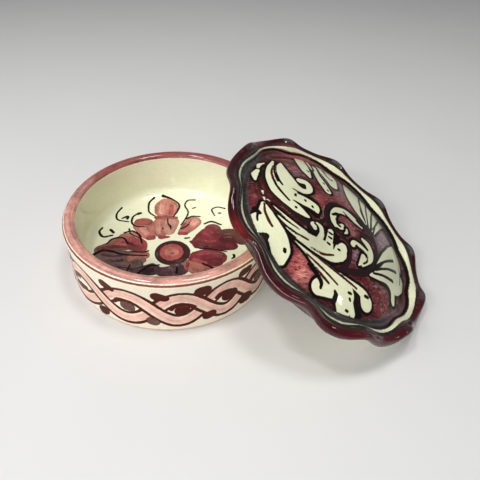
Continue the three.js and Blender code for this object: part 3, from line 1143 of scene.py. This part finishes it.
HEART_CURLS = [
    {
        "body": [
            ([(10.4, 1.4), (6, 2.3), (1, 2.9), (-3.4, 0.6), (-5, -3.4), (-4.4, -7), (-3, -9.2)],
             [0.7, 1.9, 2.0, 1.7, 1.6, 1.5, 0.8]),
            ([(-2.6, -8.2), (-0.6, -8), (0.2, -6.9)], [1.2, 1.5, 1.3]),
        ],
        "cuts": [
            ([(-5.3, -3.9), (-3.4, -1.9), (-1.4, -0.6)], [0.6, 0.9, 0.3]),
            ([(-3.4, -5.2), (-2.3, -7.4), (-0.9, -7.9)], [0.4, 0.6, 0.6]),
            ([(-0.4, 2.5), (2.6, 0.9), (7, -0.4)], [0.3, 0.6, 0.6]),
            ([(7, 3.2), (9.6, 2.3)], [0.5, 0.7]),
        ],
    },
    {
        "body": [([(2.4, -7.2), (2.7, -8.6), (1.8, -10)], [0.6, 0.8, 0.4])],
    },
    {
        "body": [
            ([(11.4, -5.6), (14.6, -6.2), (16.6, -8.8), (16.6, -12.4), (13.6, -18)],
             [1.0, 1.8, 1.9, 1.7, 0.8]),
            ([(15.6, -10.4), (11, -10), (7.4, -10.9), (6.7, -12.2)], [1.0, 1.0, 1.3, 1.4]),
            ([(13.2, -14.2), (12.6, -17), (11.6, -19.4)], [1.6, 1.2, 0.4]),
        ],
        "cuts": [
            ([(8.4, -12.9), (8.8, -11.6), (10.4, -12.2)], [0.5, 0.75, 0.6]),
            ([(15.4, -12), (15.4, -14.6), (13.8, -17)], [0.3, 0.45, 0.4]),
            ([(11.6, -7.2), (14.6, -8.6)], [0.6, 0.7]),
        ],
    },
]
TOP_LEAVES = [
    {
        "body": [([(-21.6, 37), (-21, 28), (-19.6, 21), (-17.6, 16)], [3.4, 3.0, 2.4, 0.8])],
        "dots": [((-18.9, 22.4), (0.7, -0.6)), ((-18.5, 22.4), (0.2, -0.8))],
    },
    {
        "body": [([(-14.4, 34), (-14, 24), (-11.4, 16.4), (-8.6, 11)], [1.2, 1.5, 2.2, 1.8])],
        "dots": [((-10.8, 17), (0.3, -0.5)), ((-8.8, 12.2), (0.3, -0.5))],
    },
    {
        "body": [([(-7.4, 40), (-6.8, 30), (-5.2, 20.6)], [5.0, 4.8, 2.4])],
        "cuts": [([(-8.6, 38), (-8, 31), (-5.8, 27), (-4.6, 29)], [0.8, 0.7, 0.6, 0.3])],
    },
    {
        "body": [([(-17.6, 40), (-17, 33), (-16.2, 27)], [0.9, 0.8, 0.4])],
    },
]
EDGE_LEAF = {
    "body": [
        ([(-38.4, 13.4), (-40.2, 10.6), (-40.4, 7.6)], [0.4, 1.0, 0.7]),
        ([(-40.2, 5.2), (-40.7, 1.4), (-39.8, -2.4)], [1.0, 1.5, 0.6]),
    ],
}
UPPER_FAN = {
    "body": [
        ([(13, 6.6), (8, 12.6), (6.4, 20), (7.2, 29), (10.6, 41)], [0.4, 2.4, 4.3, 5.0, 5.4]),
        ([(13.8, 7), (13, 16), (14.4, 26), (18.4, 39)], [0.3, 1.5, 2.3, 3.0]),
        ([(15.4, 6), (16.4, 17), (18.8, 26), (23, 37)], [0.3, 1.6, 2.2, 2.8]),
        ([(17.2, 5.6), (19.6, 15), (22.8, 24), (27.2, 34)], [0.3, 1.4, 2.0, 2.4]),
        ([(18.6, 5.4), (22, 14), (25.8, 22), (31, 30.6)], [0.3, 1.1, 1.6, 2.0]),
    ],
    "cuts": [
        ([(13, 9), (11.2, 17), (11.6, 26), (14.4, 35), (16.4, 41)], [0.4, 0.65, 0.7, 0.6, 0.5]),
        ([(14.6, 9), (14.8, 18), (16.6, 27), (20.6, 38)], [0.4, 0.6, 0.65, 0.5]),
        ([(16.3, 8), (18, 17), (20.9, 26), (25, 35.6)], [0.4, 0.6, 0.65, 0.5]),
        ([(17.8, 8), (20.8, 15), (24.4, 23), (29, 32)], [0.4, 0.5, 0.6, 0.5]),
    ],
}
RIGHT_FAN = {
    "body": [
        ([(18.4, -19), (25, -12.6), (31, -5), (36, 4), (38, 13)], [0.5, 2.4, 4.4, 5.0, 3.2]),
        ([(19, -18.8), (27, -13.6), (34, -9.4), (38.4, -4)], [0.5, 2.4, 5.4, 4.8]),
        ([(32.6, -14), (35.2, -19)], [2.8, 1.3]),
        ([(20.6, -12.6), (26, -2.6), (32, 7), (37, 16)], [0.3, 2.0, 2.8, 1.8]),
    ],
    "cuts": [
        ([(20.8, -12.2), (26.6, -4.4), (33.6, 3.4)], [0.5, 0.55, 0.75]),
        ([(20.8, -14.4), (28, -7.4), (35.6, -1.8)], [0.5, 0.55, 0.8]),
        ([(20, -16.8), (26, -13), (33, -9.6)], [0.5, 0.6, 0.85]),
        ([(24, -18), (29, -16), (31.6, -16.4), (32.8, -19), (33.4, -22)], [0.8, 1.2, 1.1, 0.8, 0.6]),
        ([(39.4, 6), (39.8, 0), (39.2, -6)], [0.25, 0.35, 0.25]),
    ],
}
STEMS = [
    ([(-36.8, 14), (-38, 6), (-36.6, -2), (-32, -8.4), (-25, -12.6), (-18, -15.2), (-12, -17.6)],
     [0.3, 0.5, 0.6, 0.8, 1.0, 1.4, 1.2]),
    ([(-35, -9), (-28.6, -17.4), (-18, -24.8), (-7, -28), (3, -27.6), (11, -23.6)],
     [0.6, 0.7, 0.9, 0.8, 0.8, 1.3]),
    ([(4, -26.8), (11, -23.6), (16.6, -19), (19.4, -11), (19.8, -3), (16.4, 3)],
     [0.8, 1.6, 1.4, 1.1, 1.2, 1.6]),
    ([(16, 3.4), (9, 5.6), (2, 6.4), (-5, 4), (-8, -1), (-8, -7), (-5, -11.4)],
     [1.8, 1.5, 0.9, 1.0, 1.2, 1.2, 1.4]),
    ([(18, 0), (13, -1.6), (8, -2.6)], [1.8, 1.2, 0.4]),
    ([(-6, -11.4), (0, -11.8), (5.4, -14.2), (6.6, -19), (5.4, -25)], [1.0, 0.8, 0.7, 1.0, 1.6]),
    ([(-34, -10), (-38, -4), (-39.4, 3)], [0.6, 0.5, 0.4]),
    ([(-16, -16), (-10, -12.2), (-8, -9)], [1.4, 1.1, 0.9]),
]
STEM_LINES = [
    ([(-37.6, 12), (-38.6, 2), (-36.4, -6), (-31.4, -11.6)], [0.3, 0.35, 0.3]),
    ([(-39, 10), (-39.2, -2), (-36.2, -9.4), (-33.4, -13)], [0.25, 0.35, 0.3]),
    ([(-40, 3), (-39.8, -4), (-37, -11), (-34, -14)], [0.2, 0.3, 0.25]),
    ([(-37.2, 6), (-35.6, -4), (-30, -10.4), (-24, -13.4)], [0.25, 0.3, 0.25]),
    ([(-38.4, -9), (-35, -11), (-31, -11.4)], [0.2, 0.25, 0.2]),
    ([(-36.6, -3), (-33.6, -9), (-33.4, -15)], [0.2, 0.25, 0.25]),
    ([(-34, -11), (-29, -17), (-21, -22.6)], [0.35, 0.4, 0.3]),
    ([(-33, -12.4), (-27, -19.4), (-17, -25.6)], [0.3, 0.35, 0.3]),
    ([(-30.6, -12.6), (-24, -15.4), (-17, -17.4)], [0.3, 0.35, 0.25]),
]
GLINTS = [
    ([(-35.6, -8.4), (-34.9, -9.8)], [0.4, 0.3]),
    ([(-34, -12), (-33.3, -13.2)], [0.6, 0.4]),
    ([(-32.4, -12.4), (-31.4, -12.9)], [0.4, 0.3]),
    ([(-18.9, -24.5), (-17.9, -25)], [0.4, 0.3]),
    ([(-16.8, -25.6), (-15.8, -26)], [0.3, 0.3]),
]
# Soft patches. On the dome: place, radius, tone and strength; on the brim: azimuth and spread in degrees
# The dusty patches on the dome are partly a painted reflection of the room that greys the ground, and partly
# muted paint
GROUND_PATCHES = [
    (-11, -37, 5, "rose", 0.95), (-12, -32, 4, "rose", 0.55), (-8.5, -38, 3, "blush", 0.35),
    (-27, 18, 5, "rose", 0.5), (-26, 14, 5, "dusty_sheen", 0.5), (1, 11, 8, "rose", 0.45),
    (0, 14, 7, "dusty_sheen", 0.4), (-12, 1, 6, "rose", 0.35), (3, -4, 5, "rose", 0.45),
    (4, -5, 4, "dusty_sheen", 0.4), (9, -16, 4, "dusty_sheen", 0.7), (29, 18, 9, "dusty_sheen", 0.95),
    (24, 4, 6, "dusty_sheen", 0.85), (0, 38, 5, "dusty_sheen", 0.9), (27, -23, 7, "rose", 0.25),
    (-38, -12, 5, "rose", 0.3), (-12, 22, 6, "dusty_sheen", 0.6), (-40, 8, 5, "plum", 0.6),
    (-22, -15, 5, "plum", 0.6), (-4, -8, 4, "plum", 0.4), (22, -22, 4, "plum", 0.4),
    (-30, 26, 6, "plum", 0.4), (-38, -9, 6, "plum", 0.5), (-28, -12, 6, "plum", 0.5),
]
# Painted shade: soft patches that darken the leaves where the dome turns from the light; place, radius and
# how much darker
LEAF_SHADE_PATCHES = [
    (-9, -22, 9, 0.32), (-22, -2, 7, 0.16), (2, -3, 9, 0.2), (34, -4, 9, 0.26), (28, -14, 7, 0.12),
    (13, -13, 6, 0.1),
]
VALLEY_PATCHES = [
    (122, 18, "rose", 0.6), (88, 14, "crimson", 0.7), (150, 12, "crimson", 0.5), (-10, 26, "crimson", 0.5),
    (-32, 10, "dusty_sheen", 0.3),
]
# On the rolled edge the brighter red patches are painted light where it faces the lamps, the rose patch is a
# painted highlight, and the crimson patches are deeper paint
ROLL_PATCHES = [
    (-138, 6, "roll_lit_red", 0.6), (-100, 14, "roll_lit_red", 0.14), (-72, 10, "roll_lit_red", 0.12), (152, 5, "rose", 0.45),
    (-18, 12, "crimson", 0.5), (162, 20, "crimson", 0.3), (-56, 20, "crimson", 0.6),
]


def paint_leaves(painting, tones):
    """Curling leaves and two fans of blades on the dome, round a hub of dark stems."""
    for points, widths in STEMS:
        distance, along, across = sweep(painting.places, points, widths, 6.0)
        painting.follow(distance, along, across)
        painting.lay_ink(distance, tones.charcoal, 0.92)
    for points, widths in STEM_LINES:
        painting.line_over(points, times(widths, 0.75), tones.vein_brown)
    for points, widths in GLINTS:
        painting.line_over(points, times(widths, 0.6), tones.wall_cream)
    for leaf in (RIGHT_FAN, UPPER_FAN, *TOP_LEAVES, EDGE_LEAF, BOTTOM_LEAF, MIDDLE_LEAF, LOWER_LEAF,
                 LEFT_LEAF, *HEART_CURLS):
        painting.leaf(tones, **leaf)
    # Painted shade over some of the leaves
    for x, y, radius, strength in LEAF_SHADE_PATCHES:
        blend(painting.wash, strength * painting.patch(x, y, radius), (0, 0, 0))


def paint_brim(painting, turned, sizes, tones):
    """The valley, the stripe on the ridge and the rolled edge."""
    valley, valley_width, crest, brim, roll_radius = in_millimetres(
        sizes, "valley_radius", "valley_width", "crest_radius", "brim_radius", "roll")
    edge_of_dome = valley - valley_width / 2
    roll_start = brim - roll_radius - 1.7
    edge_softness = 0.8
    back = 1.3
    radius = turned.radius
    azimuth = turned.angle
    wave = lid_wave(sizes, azimuth)
    diagonal = np.cos(azimuth - math.radians(45))
    on_dome = turned.zone == "top"
    outer = np.isin(turned.zone, ("brim", "roll")) | on_dome & (radius > edge_of_dome - 0.9)
    circling = streaks(azimuth * (crest - 0.9), turned.run, 0.07, 0.9, 91.0)
    painting.brush[outer] = circling[outer]

    def tint(share, tone):
        blend(painting.ground, share, tone)

    def tint_patches(share, patches):
        for middle, spread, tone, strength in patches:
            apart = wrapped(azimuth - math.radians(middle)) / math.radians(spread)
            tint(share * strength * soft_patch(apart), getattr(tones, tone))

    inner = soft_step(radius, edge_of_dome - edge_softness, edge_of_dome) * outer
    rings = 0.45 + 0.3 * np.sin(radius * 2.6 + 1.5 * np.sin(azimuth * 3))
    tint(inner, [*tones.charcoal, 0.3])
    tint(inner * rings, tones.grey)
    tint_patches(inner, VALLEY_PATCHES)
    tint(soft_step(radius, roll_start - 1.1, roll_start - 0.5) * outer * 0.8, tones.charcoal)
    roll = soft_step(radius, roll_start, roll_start + edge_softness) * outer
    tint(roll, [*tones.roll_red, 0.12])
    # Painted light and deeper paint on the roll
    tint_patches(roll, ROLL_PATCHES)
    painting.glazed += (0.74 - painting.glazed) * roll
    upper = soft_step(np.abs(wrapped(azimuth - back)), 1.7, 1.2)
    tint(roll * soft_step(wave, -0.6, -1.1) * (0.15 + 0.75 * upper), tones.grey)

    leaves = painting.wash_edge
    past_dome = radius - edge_of_dome
    painting.wash_edge = np.where(outer & (past_dome > -1.5), np.maximum(leaves, past_dome), leaves)
    painting.ink = np.where(outer, np.maximum(painting.ink, past_dome), painting.ink)
    stripe_radius = crest + 0.6 * wave
    stripe_half = 0.36 + 0.72 * soft_step(diagonal, -0.4, 0.6)
    stripe = np.abs(radius - stripe_radius) - stripe_half
    painting.lay_wash(np.where(outer, stripe, FAR), tones.leaf_cream, 0.12)
    blend(painting.wash, soft_step(diagonal, 0.1, -0.5) * (outer & (stripe < 1)) * 0.35, tones.grey)
    inner_line = np.abs(radius - stripe_radius + stripe_half + 0.75)
    inner_half = 0.38 + 0.22 * np.cos(azimuth - math.radians(50))
    painting.lay_ink(np.where(outer, inner_line - inner_half, FAR), tones.ink, 0.9)
    outer_line = np.abs(radius - stripe_radius - stripe_half - 0.5)
    painting.lay_ink(np.where(outer, outer_line - 0.22, FAR), tones.charcoal, 0.8)


def paint_lid(turned, sizes, tones):
    """The whole painting of the lid."""
    places = np.column_stack([turned.x, turned.y])
    painting = Painting(places, tones.crimson, 0.75, tones.ink)
    for x, y, radius, tone, strength in GROUND_PATCHES:
        blend(painting.ground, strength * painting.patch(x, y, radius), getattr(tones, tone))
    paint_leaves(painting, tones)
    close = soft_step(painting.wash_edge, 1.7, 0.6) * 0.6 + soft_step(painting.ink, 1.0, 0.2) * 0.15
    blend(painting.ground, close, tones.charcoal)
    paint_brim(painting, turned, sizes, tones)

    foot = turned.zone == "foot"
    below = np.isin(turned.zone, ("hollow", "foot", "ring", "seat"))
    painting.ground[below] = [*tones.leaf_cream, 0.06]
    painting.ground[foot] = [*tones.clay, 0.25]
    painting.glazed[foot] = 0.0
    painting.clear(below | (turned.zone == "roll") & (turned.height < 2.2))
    return painting


def lid_place(sizes):
    """The lid's turn and its middle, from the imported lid: its ring's foot is the lowest circle."""
    turn = Euler((0, 0, sizes.heading)).to_matrix() @ Euler((0, sizes.tilt, 0)).to_matrix()
    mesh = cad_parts["lid"].data
    places = np.empty(len(mesh.vertices) * 3)
    mesh.vertices.foreach_get("co", places)
    level = places.reshape(-1, 3) @ np.array(turn)
    foot = level[level[:, 2] < level[:, 2].min() + 1e-5]
    middle = (foot.min(axis=0) + foot.max(axis=0)) / 2
    middle[2] = level[:, 2].min() + sizes.ring_depth
    return turn.to_4x4(), turn @ Vector(middle)


def geometry_tree(name, inputs):
    """A geometry node group: its builder, its input node, and its number inputs by name."""
    tree = bpy.data.node_groups.new(name, "GeometryNodeTree")
    tree.interface.new_socket("Geometry", in_out="INPUT", socket_type="NodeSocketGeometry")
    sockets = {}
    for label, kind in inputs.items():
        sockets[label] = tree.interface.new_socket(label, in_out="INPUT", socket_type="NodeSocket" + kind)
    tree.interface.new_socket("Geometry", in_out="OUTPUT", socket_type="NodeSocketGeometry")
    trees = Trees(tree)
    return trees, trees.add("NodeGroupInput"), sockets


def end_in_material(trees, geometry, material):
    """Ends a geometry node group with real geometry in one material."""
    real = trees.add("GeometryNodeRealizeInstances", {}, {0: geometry})
    dressed = trees.add("GeometryNodeSetMaterial", {}, {0: real.outputs[0], "Material": material})
    trees.add("NodeGroupOutput", {}, {0: dressed.outputs[0]})


def wavy_brim_tree(material):
    """Geometry nodes that pinch the brim into waves."""
    names = ("Waves", "Dip", "Reach", "Pinch", "Phase", "Drift", "Drift phase")
    trees, source, sockets = geometry_tree("Wavy brim", dict.fromkeys(names, "Float"))
    waves, dip, reach, pinch, phase, drift, drift_phase = [
        trees.signal(source.outputs[name]) for name in names]
    position = trees.add("GeometryNodeInputPosition").outputs[0]
    parts = trees.add("ShaderNodeSeparateXYZ", {}, {0: position})
    x, y, _ = [trees.signal(socket) for socket in parts.outputs]

    azimuth = y.math("ARCTAN2", x)
    turn = waves * (azimuth - phase) + drift * (azimuth - drift_phase).sine()
    push = trees.stored("brim_share") * (turn.cosine() - pinch * (turn * 2).cosine())
    radius = (x * x + y * y).math("SQRT")
    stretch = push * reach / radius.math("MAXIMUM", MM)
    shift = trees.add("ShaderNodeCombineXYZ", {}, {0: x * stretch, 1: y * stretch, 2: push * dip * -1})
    moved = trees.add("GeometryNodeSetPosition", {}, {
        "Geometry": source.outputs["Geometry"],
        "Offset": shift.outputs[0],
    })
    end_in_material(trees, moved.outputs[0], material)
    return trees.tree, sockets


def speck_tree(material):
    """Geometry nodes that scatter flat specks over a surface."""
    kinds = {"Density": "Float", "Radius": "Float", "Seed": "Int"}
    trees, source, sockets = geometry_tree("Kiln specks", kinds)
    points = trees.add("GeometryNodeDistributePointsOnFaces", {"distribute_method": "RANDOM"}, {
        "Mesh": source.outputs["Geometry"],
        "Selection": trees.stored("glazed"),
        "Density": source.outputs["Density"],
        "Seed": source.outputs["Seed"],
    })
    ball = trees.add("GeometryNodeMeshIcoSphere", {}, {"Radius": source.outputs["Radius"], "Subdivisions": 2})
    size = trees.add("FunctionNodeRandomValue", {"data_type": "FLOAT_VECTOR"}, {
        "Min": (0.45, 0.45, 0.25),
        "Max": (1.2, 1.0, 0.4),
        "Seed": source.outputs["Seed"],
    })
    scattered = trees.add("GeometryNodeInstanceOnPoints", {}, {
        "Points": points.outputs["Points"],
        "Instance": ball.outputs["Mesh"],
        "Rotation": points.outputs["Rotation"],
        "Scale": size.outputs[0],
    })
    end_in_material(trees, scattered.outputs[0], material)
    return trees.tree, sockets


def baked(name, mesh, tree, sockets, values):
    """The plain mesh that a node tree makes of another mesh."""
    source = as_piece(name + "_source", mesh)
    modifier = source.modifiers.new(tree.name, "NODES")
    modifier.node_group = tree
    for label, value in values.items():
        modifier[sockets[label].identifier] = value
    graph = bpy.context.evaluated_depsgraph_get()
    result = bpy.data.meshes.new_from_object(source.evaluated_get(graph), preserve_all_data_layers=True,
                                             depsgraph=graph)
    bpy.data.objects.remove(source)
    result.name = name
    return result


# Stage


STAGE_MIDDLE = Vector((0.03, 0.0, 0.02))
LAMPS = [
    ("Ceiling", (-0.19, -0.07, 0.74), 0.10, 0.10, 1.2),
    ("Overhead", (0.12, 0.0, 0.74), 0.15, 0.15, 1.3),
    ("Window", (-0.56, -0.30, 0.44), 0.40, 0.40, 1.5),
    ("Front", (-0.15, -0.85, 0.45), 0.90, 0.50, 1.3),
    ("Strip", (-0.30, -0.64, 0.56), 0.80, 0.045, 3.2),
    ("Side", (0.87, -0.24, 0.39), 0.05, 0.05, 0.28),
]


def add_lamp(name, place, width, height, watts):
    """A soft rectangular lamp that shines at the middle of the stage."""
    lamp = bpy.data.lights.new(name, "AREA")
    lamp.shape = "RECTANGLE"
    lamp.size = width
    lamp.size_y = height
    lamp.energy = watts
    thing = bpy.data.objects.new(name, lamp)
    thing.location = place
    thing.rotation_euler = (STAGE_MIDDLE - thing.location).to_track_quat("-Z", "Y").to_euler()
    bpy.context.scene.collection.objects.link(thing)


class KEEPSAKE_OT_stage(Operator):
    """Make the camera, the lamps, the world and the floor"""
    bl_idname = "keepsake.stage"
    bl_label = "Stage"

    def execute(self, context):
        scene = context.scene
        lens = bpy.data.cameras.new("Camera")
        lens.lens = 33.0
        lens.sensor_width = 36.0
        lens.shift_x = 0.0792
        lens.shift_y = -0.10
        lens.clip_start = 0.01
        camera = bpy.data.objects.new("Camera", lens)
        camera.location = (0.0147, -0.1655, 0.1573)
        camera.rotation_euler = (math.radians(53.95), 0, 0)
        scene.collection.objects.link(camera)
        scene.camera = camera

        for lamp in LAMPS:
            add_lamp(*lamp)

        world = bpy.data.worlds.new("Room")
        world.use_nodes = True
        world.node_tree.nodes.clear()
        trees = Trees(world.node_tree)
        trees.surface("ShaderNodeBackground", {"Color": (0.95, 0.97, 1.0, 1.0), "Strength": 0.18},
                      "ShaderNodeOutputWorld")
        scene.world = world
        scene.view_settings.view_transform = "Standard"

        half = 1.6
        table = bpy.data.meshes.new("floor")
        table.from_pydata([(-half, -half, 0), (half, -half, 0), (half, half, 0), (-half, half, 0)], [],
                          [(0, 1, 2, 3)])
        floor = as_piece("floor", table)
        material, trees = new_material("floor_paper")
        metres = trees.add("ShaderNodeTexCoord").outputs["Object"]
        mottle = trees.noise(metres, scale=14.0, detail=3.0, roughness=0.5)
        tone = trees.mix(mottle, (0.74, 0.735, 0.72, 1.0), (0.78, 0.775, 0.76, 1.0))
        trees.surface("ShaderNodeBsdfPrincipled", {"Base Color": tone, "Roughness": 0.55})
        table.materials.append(material)
        return {"FINISHED"}


class KEEPSAKE_OT_dish(Operator):
    """Make the painted dish"""
    bl_idname = "keepsake.dish"
    bl_label = "Dish"

    def execute(self, context):
        sizes = context.scene.keepsake_dish
        tones = context.scene.keepsake_paints
        turned = Turned(dish_outline(sizes))
        mesh = turned.mesh("dish_glazed", paint_dish(turned, sizes, tones))
        mesh.materials.append(glaze_material("dish_painted_glaze", tones.wall_cream))
        piece = as_piece("dish_glazed", mesh)
        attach(piece, "dish")
        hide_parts("dish")
        return {"FINISHED"}


class KEEPSAKE_OT_lid(Operator):
    """Make the painted lid with its wavy brim"""
    bl_idname = "keepsake.lid"
    bl_label = "Lid"

    def execute(self, context):
        sizes = context.scene.keepsake_lid
        tones = context.scene.keepsake_paints
        turned = Turned(lid_outline(sizes))
        mesh = turned.mesh("lid_plain", paint_lid(turned, sizes, tones))
        material = glaze_material("lid_painted_glaze", tones.leaf_cream)
        waved = baked("lid_glazed", mesh, *wavy_brim_tree(material), {
            "Waves": float(sizes.waves),
            "Dip": sizes.wave_dip,
            "Reach": sizes.wave_reach,
            "Pinch": sizes.wave_pinch,
            "Phase": sizes.wave_phase,
            "Drift": sizes.wave_drift,
            "Drift phase": sizes.wave_drift_phase,
        })
        turn, middle = lid_place(sizes)
        waved.transform(Matrix.Translation(middle) @ turn)
        piece = as_piece("lid_glazed", waved)
        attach(piece, "lid")
        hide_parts("lid")
        return {"FINISHED"}


class KEEPSAKE_OT_specks(Operator):
    """Scatter kiln specks over the glaze"""
    bl_idname = "keepsake.specks"
    bl_label = "Kiln specks"

    def execute(self, context):
        tone = [*context.scene.keepsake_paints.speck, 1.0]
        tree, sockets = speck_tree(speck_material("kiln_speck", tone))
        for body, density, seed in (("dish", 900.0, 4), ("lid", 500.0, 9)):
            source = bpy.data.objects[body + "_glazed"].data.copy()
            mesh = baked(body + "_specks", source, tree, sockets,
                         {"Density": density, "Radius": 0.00022, "Seed": seed})
            piece = as_piece(body + "_specks", mesh)
            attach(piece, body)
        return {"FINISHED"}


class KEEPSAKE_PT_panel(Panel):
    """Sizes, paints and makers of the keepsake box"""
    bl_idname = "KEEPSAKE_PT_panel"
    bl_label = "Keepsake Box"
    bl_space_type = "VIEW_3D"
    bl_region_type = "UI"
    bl_category = "Keepsake Box"

    def draw(self, context):
        layout = self.layout
        for operator in OPERATORS:
            layout.operator(operator.bl_idname)
        for title, group in (("Dish", context.scene.keepsake_dish), ("Lid", context.scene.keepsake_lid),
                             ("Paints", context.scene.keepsake_paints)):
            box = layout.box()
            box.label(text=title)
            for name in group.__annotations__:
                box.prop(group, name)


OPERATORS = (KEEPSAKE_OT_stage, KEEPSAKE_OT_dish, KEEPSAKE_OT_lid, KEEPSAKE_OT_specks)
CLASSES = (DishSizes, LidSizes, Paints, *OPERATORS, KEEPSAKE_PT_panel)


def register():
    for item in CLASSES:
        bpy.utils.register_class(item)
    bpy.types.Scene.keepsake_dish = PointerProperty(type=DishSizes)
    bpy.types.Scene.keepsake_lid = PointerProperty(type=LidSizes)
    bpy.types.Scene.keepsake_paints = PointerProperty(type=Paints)


def unregister():
    del bpy.types.Scene.keepsake_paints
    del bpy.types.Scene.keepsake_lid
    del bpy.types.Scene.keepsake_dish
    for item in reversed(CLASSES):
        bpy.utils.unregister_class(item)


def main():
    """Makes the whole scene."""
    register()
    bpy.ops.keepsake.stage()
    bpy.ops.keepsake.dish()
    bpy.ops.keepsake.lid()
    bpy.ops.keepsake.specks()


if __name__ == "__main__":
    main()
